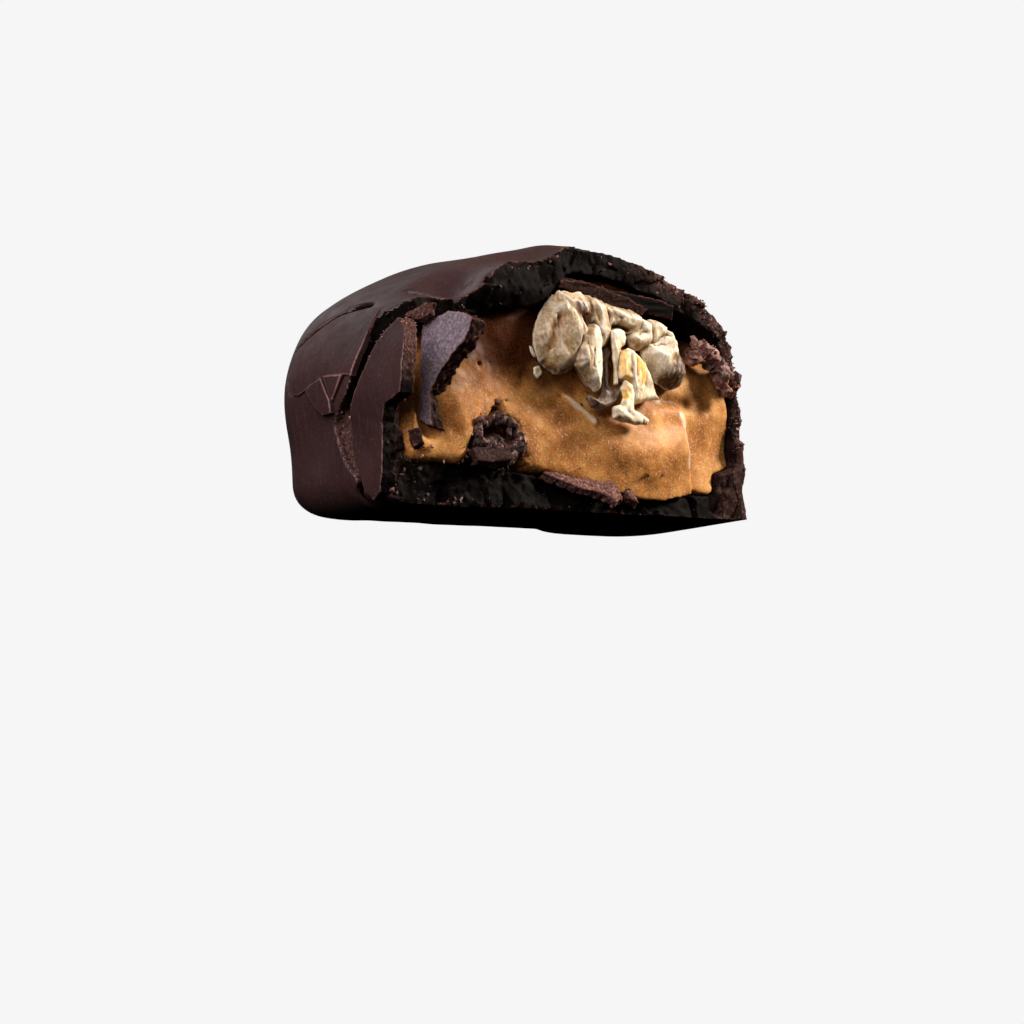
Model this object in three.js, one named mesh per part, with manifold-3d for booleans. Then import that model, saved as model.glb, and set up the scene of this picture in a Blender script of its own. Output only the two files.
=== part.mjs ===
// Half of a filled chocolate, broken across: a dark shell with a domed top, soft caramel inside,
// broken hazelnuts in the caramel, and loose shards of the shell round the break.
// Millimetres. +X runs to the right along the break, +Y goes back to the moulded end, +Z is up.
// The origin is the middle of the flat underside.
import * as THREE from 'three';
import { mergeVertices } from 'three/addons/utils/BufferGeometryUtils.js';
import Module from 'manifold-3d';

const wasm = await Module();
wasm.setup();

// ---- driving dimensions ---------------------------------------------------------------------

const WIDTH = 40; // across the break
const HEIGHT = 22.15; // underside to the crown
const FRONT = -6.4; // the break
const BACK = 7.1; // the moulded end

const FOOT_FLARE_LEFT = 0.55; // the walls swell near the foot
const FOOT_FLARE_RIGHT = 0.35;
const FOOT_AT = 2.5;
const LEFT_SWELL = 1.05; // the left wall swells again at half height
const SWELL_AT = 9.5;
const ARCH = 0.015; // fall of the roof with the square of the distance from the ridge
const RIDGE_X = 0.2;
const BACK_RISE = 0.57; // the ridge climbs this much towards the moulded end
const LEFT_FALL = 1.07; // the roof is this much lower over the left wall
const SHOULDER_LEFT = 3.9; // rounding between roof and walls
const SHOULDER_RIGHT = 4.3;
const BACK_ROUND = 4.0; // rounding between the moulded end and the rest
const FOOT_ROUND = 2.8; // rounding between wall and underside, which fades out to the right

const WALL_LEFT = 1.6; // thickness of the shell
const INNER_WALL = 0.6; // what the left wall gains low down
const WALL_RIGHT = 1.1;
const WALL_BACK = 1.7;
const ROOF = 2.1;
const ROOF_THICK = 1.7; // what the roof gains over its thick stretch
const THICK_AT = -6;
const THICK_REACH = 4.5;
const FLOOR_LEFT = 3.4;
const FLOOR_RIGHT = 1.9;

// The cracked roof has been pushed down in two places along the break.
const DENTS = [
  { depth: 2.3, at: -12.2, reach: 3.2 },
  { depth: 1.3, at: -4, reach: 4 },
];
const DENT_RUN = 5; // how far back the dents go
const EAVE = 1.5; // the pushed-down roof stands this far forward of the break

// The caramel's face bulges in two lobes, and draws back at both sides and under the roof.
const RIGHT_LOBE = { depth: 1.3, x: 6, wide: 8.5, z: 5.5, tall: 4.5 };
const LEFT_LOBE = { depth: 1.0, x: -13.5, wide: 3.5, z: 7, tall: 5 };
const ROOF_HOLE = { depth: -5, x: 15.4, wide: 2.4, z: 16.4, tall: 2 };
const DRAWN_LEFT = 3.5;
const DRAWN_RIGHT = 1.0;
const DROOP = 1.5; // how far the right lobe hangs down over the floor

const HEART = [0, -3, 9]; // a point deep in the caramel
const DEG = Math.PI / 180;

const GAP = 0.15; // air between neighbouring pieces
const ROUGH = 0.28; // height of the crags on a break
const RUN_ON = 6; // the moulded form runs on this far in front of the break before it is cut
const ROOM_RUN_ON = 4;
const BELOW = 0.03; // the form reaches this far below the underside, where it is cut flat

const CHOCOLATE = { color: 0x2c1a18, roughness: 0.5, metalness: 0 };
const BROKEN = { color: 0x25120d, roughness: 0.8, metalness: 0 };
const CARAMEL = { color: 0xb9803e, roughness: 0.3, metalness: 0 };
const NUT = { color: 0xe3cfa4, roughness: 0.55, metalness: 0 };
const SKIN = { color: 0x7a5535, roughness: 0.7, metalness: 0 };

// ---- numbers and forms ----------------------------------------------------------------------

const { clamp, smoothstep, lerp } = THREE.MathUtils;

/** A hill of height 1 at mid, spent at about twice its reach. */
function bump(value, mid, reach) {
  return Math.exp(-(((value - mid) / reach) ** 2));
}

/** The larger of two numbers, with the corner between them rounded over a width k. */
function smoothMax(a, b, k) {
  const h = clamp(0.5 + (0.5 * (a - b)) / k, 0, 1);
  return b * (1 - h) + a * h + k * h * (1 - h);
}

function lattice(i, j, k) {
  const s = Math.sin(i * 127.1 + j * 311.7 + k * 74.7) * 43758.5453;
  return s - Math.floor(s);
}

/** Smooth noise from -1 to 1 with a lump about every unit. */
function noise(x, y, z) {
  const cell = [x, y, z].map(Math.floor);
  const part = [x - cell[0], y - cell[1], z - cell[2]].map((t) => t * t * (3 - 2 * t));
  let sum = 0;
  for (let corner = 0; corner < 8; corner++) {
    const bits = [corner & 1, (corner >> 1) & 1, (corner >> 2) & 1];
    const weight = bits.reduce((w, bit, n) => w * (bit ? part[n] : 1 - part[n]), 1);
    sum += weight * lattice(cell[0] + bits[0], cell[1] + bits[1], cell[2] + bits[2]);
  }
  return 2 * sum - 1;
}

/** How far the cracked roof has been pushed down, most at the break. */
function sag(x, y) {
  const across = DENTS.reduce((sum, dent) => sum + dent.depth * bump(x, dent.at, dent.reach), 0);
  return across * (1 - smoothstep(y, FRONT - 0.6, FRONT - 0.6 + DENT_RUN));
}

function roofHeight(x, y) {
  const back = clamp((y - FRONT) / (BACK - FRONT), 0, 1);
  const left = (LEFT_FALL * Math.max(-x, 0)) / (WIDTH / 2);
  return HEIGHT - ARCH * (x - RIDGE_X) ** 2 + BACK_RISE * back * back - left - sag(x, y);
}

function leftReach(z) {
  return WIDTH / 2 + FOOT_FLARE_LEFT * bump(z, FOOT_AT, 3) + LEFT_SWELL * bump(z, SWELL_AT, 4.5);
}

function rightReach(z) {
  return WIDTH / 2 + FOOT_FLARE_RIGHT * bump(z, FOOT_AT, 3);
}

/** Below zero inside the moulded outside, which runs on in front of the break. */
function outerForm({ x, y, z }) {
  const roof = 0.95 * (z - roofHeight(x, y));
  const left = smoothMax(-x - leftReach(z), roof, SHOULDER_LEFT);
  const right = smoothMax(x - rightReach(z), roof, SHOULDER_RIGHT);
  const sides = smoothMax(Math.max(left, right), y - BACK, BACK_ROUND);
  const sharpFoot = FOOT_ROUND * smoothstep(x, 6, 15);
  const foot = -z - BELOW - sharpFoot;
  return Math.max(smoothMax(sides, foot, FOOT_ROUND), FRONT - RUN_ON - y);
}

/** 1 low on the left, where the inner half of the wall stayed whole and carries the loose plate. */
function innerWall(z) {
  return 1 - smoothstep(z, 7.5, 9.5);
}

/** Below zero inside the hollow of the shell. */
function hollowForm({ x, y, z }) {
  const leftWall = WALL_LEFT + INNER_WALL * innerWall(z);
  const side = Math.max(-x - leftReach(z) + leftWall, x - rightReach(z) + WALL_RIGHT);
  const thick = ROOF + ROOF_THICK * bump(x, THICK_AT, THICK_REACH);
  const roof = 0.95 * (z - roofHeight(x, y) + thick);
  const back = y - BACK + WALL_BACK;
  const floor = lerp(FLOOR_LEFT, FLOOR_RIGHT, clamp((x + 12) / 22, 0, 1)) - z;
  return smoothMax(smoothMax(smoothMax(side, roof, 2.5), back, 2), floor, 1.2);
}

// The left wall broke further back than the rest: height and the place of its edge.
const leftEdge = new THREE.SplineCurve(
  [
    [-3, -4.4],
    [1.6, -3.2],
    [4, -1.5],
    [7, -0.9],
    [9.6, -2.8],
    [13, -3.9],
    [17, -4.2],
    [26, -6.5],
  ].map(([z, y]) => new THREE.Vector2(z, y)),
);

function leftBreak(z) {
  let low = 0;
  let high = 1;
  for (let n = 0; n < 24; n++) {
    const mid = (low + high) / 2;
    if (leftEdge.getPoint(mid).x < z) low = mid;
    else high = mid;
  }
  return leftEdge.getPoint(low).y;
}

/** Where the shell ends at the break. */
function breakAt(x, z) {
  const low = innerWall(z);
  const left = 1 - smoothstep(x, lerp(-19, -20.1, low), lerp(-16.5, -19.4, low));
  const eave = smoothstep(x, -15.5, -12) * (1 - smoothstep(x, -1.5, 1)) * smoothstep(z, 14.5, 18);
  const crags = ROUGH * noise(x * 0.9, 3, z * 0.9) + 0.6 * ROUGH * noise(x * 2.1, 7, z * 2.1);
  const straight = FRONT - EAVE * eave + 0.4 * (1 - smoothstep(z, 2, 4.5));
  return lerp(straight, leftBreak(z), left) + crags;
}

/** Where the caramel's face lies. */
function caramelFace(x, z) {
  const out = [RIGHT_LOBE, LEFT_LOBE, ROOF_HOLE].reduce(
    (sum, hill) => sum + hill.depth * bump(x, hill.x, hill.wide) * bump(z, hill.z, hill.tall),
    0,
  );
  const leftLimit = -18.9 + 0.42 * (z - 5);
  const drawnLeft = DRAWN_LEFT * (1 - smoothstep(x, leftLimit - 1.2, leftLimit + 0.8));
  const drawnRight = DRAWN_RIGHT * smoothstep(x, 13.8, 15.4);
  return FRONT - out + drawnLeft + drawnRight + 0.15 * noise(x * 0.6, 11, z * 0.6);
}

/** Below zero inside the room for the caramel, which droops over the floor at the break. */
function roomForm({ x, y, z }) {
  const outside = 1 - smoothstep(y, FRONT - 0.6, FRONT + 0.5);
  const droop = outside * (DROOP * bump(x, 8, 5.5) + 0.3) * (1 - smoothstep(z, 2, 8));
  return Math.max(hollowForm({ x, y, z: z + droop }), FRONT - ROOM_RUN_ON - y);
}

function caramelForm(point) {
  return smoothMax(roomForm(point) + GAP, caramelFace(point.x, point.z) - point.y, 1.0);
}

// ---- making solids --------------------------------------------------------------------------

function toSolid(geometry) {
  geometry.deleteAttribute('normal');
  geometry.deleteAttribute('uv');
  const merged = mergeVertices(geometry, 1e-4);
  return new wasm.Manifold(
    new wasm.Mesh({
      numProp: 3,
      vertProperties: new Float32Array(merged.attributes.position.array),
      triVerts: new Uint32Array(merged.index.array),
    }),
  );
}

function toGeometry(solid) {
  const { vertProperties, triVerts } = solid.getMesh();
  const geometry = new THREE.BufferGeometry();
  geometry.setAttribute('position', new THREE.BufferAttribute(vertProperties, 3));
  geometry.setIndex(new THREE.BufferAttribute(triVerts, 1));
  return geometry;
}

function toMesh(name, solid, finish) {
  const geometry = toGeometry(solid);
  geometry.computeVertexNormals();
  const mesh = new THREE.Mesh(geometry, new THREE.MeshStandardMaterial(finish));
  mesh.name = name;
  return mesh;
}

/** Moves every corner of a geometry to where the function sends it. */
function reshape(geometry, move) {
  const spots = geometry.attributes.position;
  const spot = new THREE.Vector3();
  for (let n = 0; n < spots.count; n++) {
    spot.fromBufferAttribute(spots, n);
    move(spot);
    spots.setXYZ(n, spot.x, spot.y, spot.z);
  }
  return geometry;
}

/** A ball of triangles whose corners go out along their rays to the surface of a form. */
function wrap(form, heart, detail) {
  const start = new THREE.Vector3(...heart);
  const probe = new THREE.Vector3();
  return toSolid(
    reshape(new THREE.IcosahedronGeometry(1, detail), (spot) => {
      const ray = spot.clone().normalize();
      let low = 0;
      let high = WIDTH;
      for (let n = 0; n < 26; n++) {
        const mid = (low + high) / 2;
        if (form(probe.copy(start).addScaledVector(ray, mid)) < 0) low = mid;
        else high = mid;
      }
      spot.copy(start).addScaledVector(ray, low);
    }),
  );
}

/** A block between two corners. */
function block(low, high) {
  const size = high.map((value, n) => value - low[n]);
  const middle = high.map((value, n) => (value + low[n]) / 2);
  return toSolid(new THREE.BoxGeometry(...size).translate(...middle));
}

/** All that lies in front of the break. */
function beforeBreak() {
  const step = 1.35;
  const wide = WIDTH + 6;
  const tall = HEIGHT + 6;
  const deep = 2 * RUN_ON;
  const grid = [Math.round(wide / step), 1, Math.round(tall / step)];
  const geometry = new THREE.BoxGeometry(wide, deep, tall, ...grid);
  geometry.translate(0, FRONT - deep, tall / 2 - 2);
  return toSolid(
    reshape(geometry, (spot) => {
      if (spot.y > FRONT - deep) spot.y = breakAt(spot.x, spot.z);
    }),
  );
}

/** Turns local right, up and out-of-face into a face that looks along a compass and tilt angle. */
function facing(at, compass, tilt) {
  const a = compass * DEG;
  const e = tilt * DEG;
  const out = new THREE.Vector3(Math.sin(a) * Math.cos(e), -Math.cos(a) * Math.cos(e), Math.sin(e));
  const right = new THREE.Vector3(Math.cos(a), Math.sin(a), 0);
  const up = out.clone().cross(right);
  return new THREE.Matrix4().makeBasis(right, up, out).setPosition(...at);
}

/**
 * A broken plate of chocolate: an outline of [right, up] points on its front face, its thickness
 * behind that face, ragged by a little noise. grow makes it larger all round.
 */
function plate({ outline, thick, at, compass = 0, tilt = 0, ragged = 0.12, steps = 22 }, grow = 0) {
  const shape = new THREE.Shape(outline.map(([u, v]) => new THREE.Vector2(u, v)));
  const middle = outline.reduce((sum, [u, v]) => [sum[0] + u, sum[1] + v], [0, 0]);
  const centre = middle.map((value) => value / outline.length);
  const rim = shape.getSpacedPoints(steps).slice(0, steps);
  const ring = rim.map((point, n) => {
    const out = new THREE.Vector2(point.x - centre[0], point.y - centre[1]);
    const far = out.length();
    const jag = ragged * noise(n * 1.7 + at[0], at[2], 5);
    return point.add(out.multiplyScalar((grow + jag) / Math.max(far, 0.3)));
  });
  const bevel = Math.min(0.15, thick / 4);
  const geometry = new THREE.ExtrudeGeometry(new THREE.Shape(ring), {
    depth: thick + 2 * grow - 2 * bevel,
    bevelEnabled: true,
    bevelThickness: bevel,
    bevelSize: bevel,
    bevelOffset: -bevel,
    bevelSegments: 1,
  });
  geometry.translate(0, 0, bevel - thick - grow);
  return toSolid(geometry.applyMatrix4(facing(at, compass, tilt)));
}

/** A lump with half-sizes along right, up and out, turned in the face and dented by noise. */
function lump({ at, half, turn = 0, compass = 0, tilt = 0, rough = 0.1, detail = 3 }, grow = 0) {
  const geometry = new THREE.IcosahedronGeometry(1, detail);
  reshape(geometry, (spot) => {
    const ray = spot.clone().normalize();
    const dent = 1 + rough * noise(ray.x * 2 + at[0], ray.y * 2 + at[2], ray.z * 2 + at[1]);
    spot.set(...half.map((value, n) => ray.getComponent(n) * (value * dent + grow)));
  });
  geometry.rotateZ(turn * DEG);
  return toSolid(geometry.applyMatrix4(facing(at, compass, tilt)));
}

/** A bar of square section along a line of points. */
function bar(points, wide, sections) {
  const path = new THREE.CatmullRomCurve3(points.map((point) => new THREE.Vector3(...point)));
  const half = wide / 2;
  const section = new THREE.Shape([
    new THREE.Vector2(-half, -half),
    new THREE.Vector2(half, -half),
    new THREE.Vector2(half, half),
    new THREE.Vector2(-half, half),
  ]);
  return toSolid(
    new THREE.ExtrudeGeometry(section, { steps: sections, extrudePath: path, bevelEnabled: false }),
  );
}

// ---- the pieces -----------------------------------------------------------------------------

/** The plate that split from the left wall and stands forward of it. */
function wallStrip(grow) {
  const standOff = 0.25;
  const strip = {
    outline: [
      [7.6, 14.8], [8.9, 13.6], [9.4, 12.2], [9.2, 9.4], [8.9, 8.5], [7.2, 7.8],
      [6.6, 6.4], [6.2, 2.4], [5.6, 0.9], [4.6, 0.3], [3.8, 1.3], [3.3, 3.2],
      [2.8, 4.9], [3.1, 8.0], [3.7, 9.0], [5.2, 11.2], [6.0, 12.7], [6.7, 13.9],
    ],
    thick: 1.5,
    at: [0, 0, 0],
    compass: -90,
    ragged: 0.05,
    steps: 34,
  };
  return toSolid(
    reshape(toGeometry(plate(strip, grow)), (spot) => {
      const lean = 0.9 * smoothstep(spot.z, 12, 15.5) + 0.25 * smoothstep(-spot.y, 6, 9.5);
      spot.x -= leftReach(spot.z) + standOff - lean;
    }),
  );
}

const shards = {
  large_shard: {
    outline: [
      [-2.2, 4.0], [-0.1, 4.4], [1.3, 4.7], [3.2, 4.4], [3.9, 3.8], [2.6, 2.4],
      [2.0, 1.3], [0.5, -0.6], [-0.3, -2.1], [-0.3, -4.4], [-1.6, -3.4], [-2.0, -1.5],
    ],
    thick: 1.6, at: [-15.8, -7.9, 10.6], compass: -80, tilt: 6,
  },
  shard_chip: {
    outline: [[-1.3, -0.4], [0.4, 0.5], [1.3, 0.4], [1.0, -0.5], [0.0, -0.9]],
    thick: 0.7, at: [-16.7, -7.0, 15.7], compass: -60, tilt: 10, steps: 14,
  },
  top_splinter: {
    outline: [
      [-4.9, 1.0], [-3.0, 1.0], [-0.5, 0.7], [2.8, -0.1], [5.4, -0.9],
      [4.7, -1.4], [1.1, -0.9], [-2.4, -0.2], [-4.8, 0.4],
    ],
    thick: 2.2, at: [3.2, -7.9, 17.9], tilt: -20,
  },
  roof_slab: {
    outline: [[-4.5, 0.6], [1.1, 0.2], [4.5, -0.4], [4.4, -1.6], [1.2, -1.2], [-4.5, -0.1]],
    thick: 3.2, at: [8.3, -6.5, 18.2], tilt: -10,
  },
  base_shard: {
    outline: [
      [-4.0, 1.0], [-1.2, 1.1], [2.2, 0.8], [3.8, 0.0], [3.7, -1.5],
      [2.6, -2.0], [1.9, -1.1], [-0.5, -0.7], [-2.4, 0.1],
    ],
    thick: 0.8, at: [0.3, -7.2, 2.3], tilt: 35,
  },
  base_chip: {
    outline: [[-0.9, 0.6], [0.2, 0.3], [0.4, -0.9], [-0.7, -0.6]],
    thick: 0.8, at: [6.2, -7.0, 1.7], compass: 10, tilt: 20, steps: 12,
  },
  pile_slab: {
    outline: [[-2.0, 0.5], [0.3, 0.7], [2.4, 0.8], [2.3, -0.4], [0, -0.7], [-1.7, -0.7]],
    thick: 0.9, at: [-10.5, -8.0, 4.1], tilt: 12, steps: 18,
  },
  caramel_chip: {
    outline: [[-0.6, 0.6], [0.4, 0.8], [0.7, -0.5], [-0.2, -0.9]],
    thick: 0.6, at: [-18.0, -7.2, 5.3], compass: -40, tilt: 20, steps: 12,
  },
};

const nuts = {
  nut_left: { at: [-1.5, -7.4, 14.7], half: [2.7, 3.5, 2.0], turn: -14, rough: 0.1 },
  nut_middle: { at: [3.5, -7.0, 15.2], half: [2.2, 2.5, 1.7], turn: -35, rough: 0.2 },
  nut_spike: { at: [3.0, -7.6, 11.9], half: [1.1, 2.4, 1.0], turn: 14, rough: 0.16 },
  nut_bridge: { at: [6.6, -6.8, 16.0], half: [2.2, 1.0, 1.3], turn: -8, rough: 0.2, detail: 2 },
  nut_yellow: { at: [6.9, -8.0, 11.8], half: [1.7, 2.6, 1.3], turn: 28, rough: 0.18 },
  nut_right: { at: [11.1, -7.2, 13.9], half: [2.2, 2.8, 1.8], turn: 24, rough: 0.14 },
};

/** The bent sliver of nut under the yellow piece. */
function nutSliver(grow) {
  const line = [[5.4, -8.0, 9.2], [3.9, -8.0, 8.3], [4.8, -8.1, 7.6], [7.6, -7.9, 7.4]];
  return bar(line, 0.8 + 2 * grow, 10);
}

/** The curl of brown nut skin below the spike. */
function nutSkin(grow) {
  const line = [[0.4, -7.4, 9.6], [1.5, -7.7, 8.7], [2.5, -7.8, 8.5], [3.5, -7.8, 9.0]];
  return bar(line, 0.5 + 2 * grow, 8);
}

/** Crumbs of shell heaped at the right of the nuts. */
function crumbCluster(grow) {
  const crumbs = [
    { at: [15.0, -6.9, 14.0], half: [1.2, 0.8, 0.9], turn: 20 },
    { at: [16.6, -7.1, 13.2], half: [1.3, 0.9, 1.0], turn: -40 },
    { at: [18.0, -7.0, 12.0], half: [1.2, 0.9, 0.9], turn: -35 },
    { at: [17.3, -7.2, 11.0], half: [0.8, 0.9, 0.7], turn: 0 },
  ];
  return crumbs
    .map((crumb) => lump({ ...crumb, rough: 0.3, detail: 1 }, grow))
    .reduce((sum, part) => sum.add(part));
}

/** Crumbs and flakes heaped between the two lobes of caramel, round a dark hollow. */
function crumbPile(grow) {
  const ring = 9;
  let pile = lump({ at: [-8.5, -6.4, 4.3], half: [2.8, 1.7, 1.0], rough: 0.2, detail: 2 }, grow);
  for (let n = 0; n < ring; n++) {
    const angle = (n / ring) * Math.PI * 2;
    const at = [-9.0 + 2.2 * Math.cos(angle), -6.9, 5.8 + 0.95 * Math.sin(angle)];
    const size = 1.0 + 0.15 * noise(n * 3.1, 2, 9);
    pile = pile.add(lump({ at, half: [size, size * 0.7, 0.8], rough: 0.25, detail: 0 }, grow));
  }
  return pile;
}

/** The wedge between the two lobes of caramel. */
function caramelNotch() {
  const wedge = { outline: [[-3.6, -2], [3.4, -2], [1.9, 0.9], [0.6, 3.9], [-1.2, 3.0], [-2.6, 1]] };
  return plate({ ...wedge, thick: 3.6, at: [-8.2, -6.0 - 3.4, 4.6], ragged: 0.25, steps: 18 });
}

/** Two chips of the shell that peeled from the left wall and still hang on it. */
function peeledFlakes() {
  const first = {
    outline: [[-1.7, 0.7], [0.6, 2.0], [1.2, 0], [1.1, -1.0], [0.2, -1.1], [-1.0, -0.1]],
    thick: 0.8, at: [-21.4, 0.5, 9.0], compass: -84, tilt: 4, ragged: 0.04, steps: 14,
  };
  const second = {
    outline: [[-1.1, 0.9], [1.1, 0.8], [0.4, -0.3], [-0.3, -0.9]],
    thick: 0.8, at: [-21.5, -1.3, 9.8], compass: -98, tilt: -4, ragged: 0.04, steps: 12,
  };
  return plate(first).add(plate(second));
}

/** The long crack round the plate that lifted on the left shoulder, cut into the shell. */
function shoulderCrack() {
  const line = [
    [-1.9, 16.5], [0.9, 17.0], [2.2, 15.5], [3.4, 14.5], [4.6, 13.2], [5.0, 11.8], [4.4, 10.6],
    [3.2, 9.9], [2.1, 10.0],
  ];
  const points = line.map(([y, z]) => {
    let x = -WIDTH / 2 - 2;
    while (outerForm({ x, y, z }) > 0) x += 0.02;
    return [x, y, z];
  });
  return bar(points, 0.45, 20);
}

/** The chocolate shell, broken open, hollowed for the caramel and cut clear of its neighbours. */
function shell(neighbours) {
  const whole = wrap(outerForm, HEART, 10)
    .subtract(block([-WIDTH, -WIDTH, -HEIGHT], [WIDTH, WIDTH, 0]))
    .subtract(beforeBreak())
    .add(peeledFlakes())
    .subtract(wrap(roomForm, HEART, 8))
    .subtract(shoulderCrack());
  return neighbours.reduce((rest, other) => rest.subtract(other), whole);
}

// ---- putting it together --------------------------------------------------------------------

/** Each maker takes a growth; an earlier piece keeps its form and a later one is cut clear of it. */
const makers = [
  ...Object.entries(nuts).map(([name, spec]) => [name, (grow) => lump(spec, grow), NUT]),
  ...Object.entries(shards).map(([name, spec]) => [name, (grow) => plate(spec, grow), BROKEN]),
  ['nut_sliver', nutSliver, NUT],
  ['nut_skin', nutSkin, SKIN],
  ['wall_strip', wallStrip, CHOCOLATE],
  ['crumb_cluster', crumbCluster, BROKEN],
  ['crumb_pile', crumbPile, BROKEN],
];

const group = new THREE.Group();
group.name = 'filled_chocolate';

const clearances = [];
for (const [name, make, finish] of makers) {
  const solid = clearances.reduce((rest, other) => rest.subtract(other), make(0));
  group.add(toMesh(name, solid, finish));
  clearances.push(make(GAP));
}

const caramel = wrap(caramelForm, HEART, 8).subtract(caramelNotch());
const filling = clearances.reduce((rest, other) => rest.subtract(other), caramel);
group.add(toMesh('filling', filling, CARAMEL));
group.add(toMesh('shell', shell(clearances), CHOCOLATE));

export default group;
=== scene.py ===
"""Half of a filled chocolate, broken across: a dark shell, soft caramel, hazelnuts and loose shards.

Sizes are millimetres until a mesh is made, which is in metres. +X runs right along the break, +Y back to
the moulded end, +Z up. Each form is a signed distance, below zero inside, that is read off on a grid.
"""

import bmesh
import bpy
import numpy as np
from mathutils import Matrix, Vector


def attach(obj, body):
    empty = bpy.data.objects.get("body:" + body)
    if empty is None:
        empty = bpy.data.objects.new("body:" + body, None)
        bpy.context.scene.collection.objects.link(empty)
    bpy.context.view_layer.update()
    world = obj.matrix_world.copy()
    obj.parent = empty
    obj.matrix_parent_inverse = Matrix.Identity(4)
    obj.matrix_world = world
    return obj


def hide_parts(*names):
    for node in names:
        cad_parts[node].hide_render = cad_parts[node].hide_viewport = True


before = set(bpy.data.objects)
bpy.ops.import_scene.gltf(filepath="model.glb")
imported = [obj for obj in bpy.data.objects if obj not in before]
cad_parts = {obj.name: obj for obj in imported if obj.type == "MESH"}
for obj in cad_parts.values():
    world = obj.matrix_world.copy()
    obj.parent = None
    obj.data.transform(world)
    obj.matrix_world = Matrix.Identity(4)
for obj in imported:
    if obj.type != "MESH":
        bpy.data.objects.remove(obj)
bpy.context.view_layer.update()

MM = 0.001
SEED = 7

# ---- driving dimensions: the form of the solids ----------------------------------------------

WIDTH = 40.0  # across the break
HEIGHT = 22.15  # underside to the crown
FRONT = -6.4  # the break
BACK = 7.1  # the moulded end

FOOT_FLARE_LEFT, FOOT_FLARE_RIGHT, FOOT_AT = 0.55, 0.35, 2.5
LEFT_SWELL, SWELL_AT = 1.05, 9.5
ARCH, RIDGE_X, BACK_RISE, LEFT_FALL = 0.015, 0.2, 0.57, 1.07
SHOULDER_LEFT, SHOULDER_RIGHT, BACK_ROUND, FOOT_ROUND = 3.9, 4.3, 4.0, 2.8

WALL_LEFT, INNER_WALL, WALL_RIGHT, WALL_BACK = 1.6, 0.6, 1.1, 1.7
ROOF, ROOF_THICK, THICK_AT, THICK_REACH = 2.1, 1.7, -6.0, 4.5
FLOOR_LEFT, FLOOR_RIGHT = 3.4, 1.9

DENTS = [(2.3, -12.2, 3.2), (1.3, -4.0, 4.0)]  # depth, place and reach of each dent in the roof
DENT_RUN, EAVE = 5.0, 1.5
LOBES = [  # depth, x, half width, z and half height of each swelling or hollow of the caramel
    (1.3, 6.0, 8.5, 5.5, 4.5),
    (1.0, -13.5, 3.5, 7.0, 5.0),
    (-5.5, 15.2, 2.9, 16.3, 2.4),
]
DRAWN_LEFT, DRAWN_RIGHT, DROOP = 3.5, 0.1, 1.5
CRAG = 0.28  # height of the crags on the break

SUMMIT = (0.55, -1.2, -5.0)  # height of the pushed-up edge on the crown, and its place
FOOT_BLOCK, FOOT_BLOCK_TOP = 2.2, 4.2  # the right wall is thicker at its foot

HOLLOW_END = 1.0  # how far back the hollow of the shell can be seen into

# ---- numbers ---------------------------------------------------------------------------------


def clamp(value, low=0.0, high=1.0):
    return np.minimum(np.maximum(value, low), high)


def smoothstep(value, low, high):
    t = clamp((value - low) / (high - low))
    return t * t * (3 - 2 * t)


def lerp(a, b, t):
    return a + (b - a) * t


def bump(value, mid, reach):
    """A hill of height 1 at mid, spent at about twice its reach."""
    return np.exp(-(((value - mid) / reach) ** 2))


def smooth_max(a, b, k):
    """The larger of two fields, with the corner between them rounded over a width k."""
    h = clamp(0.5 + 0.5 * (a - b) / k)
    return b * (1 - h) + a * h + k * h * (1 - h)


def smooth_min(a, b, k):
    return -smooth_max(-a, -b, k)


def lattice(cell, seed):
    """A fixed random number from -1 to 1 for each cell of a grid."""
    mixed = cell[0] * 73856093 ^ cell[1] * 19349663 ^ cell[2] * 83492791 ^ seed * 40503
    mixed = (mixed ^ (mixed >> 13)) * 1274126177 & 0xFFFFFFFF
    mixed = (mixed ^ (mixed >> 15)) * 2246822519 & 0xFFFFFFFF
    return (mixed ^ (mixed >> 16)) / 2147483647.5 - 1


def noise(x, y, z, size, seed=0):
    """Smooth noise from -1 to 1 with a lump about every size."""
    spots = [np.asarray(v, float) / size + 1000.0 for v in (x, y, z)]
    cells = [np.floor(v).astype(np.int64) for v in spots]
    parts = [v - c for v, c in zip(spots, cells)]
    parts = [t * t * (3 - 2 * t) for t in parts]
    total = 0.0
    for corner in range(8):
        bits = [corner & 1, corner >> 1 & 1, corner >> 2 & 1]
        weight = 1.0
        for part, bit in zip(parts, bits):
            weight = weight * (part if bit else 1 - part)
        total = total + weight * lattice([c + b for c, b in zip(cells, bits)], seed)
    return total


def layered(x, y, z, size, seed=0, layers=3):
    """Noise with finer and lower layers on top."""
    return sum(noise(x, y, z, size / 2**n, seed + n) / 2**n for n in range(layers))


def chips(x, y, z, size, seed=0):
    """Facets about a size across, as on broken chocolate, each a plane tilted by chance."""
    spots = [np.asarray(v, float) / size + 1000.0 for v in (x, y, z)]
    cells = [np.floor(v).astype(np.int64) for v in spots]
    nearest, height = np.inf, 0.0
    for step in np.ndindex(3, 3, 3):
        cell = [c + n - 1 for c, n in zip(cells, step)]
        away = [v - c - 0.5 - 0.4 * lattice(cell, seed + n) for n, (v, c) in enumerate(zip(spots, cell))]
        far = sum(a * a for a in away)
        plane = sum(a * lattice(cell, seed + 3 + n) for n, a in enumerate(away))
        height = np.where(far < nearest, plane, height)
        nearest = np.minimum(nearest, far)
    return height


def strokes(u, v, lines):
    """The sum of strokes along lines: each has its points, its height and its width."""
    return sum(high * np.exp(-((line_distance(u, v, line) / wide) ** 2)) for line, high, wide in lines)


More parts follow.
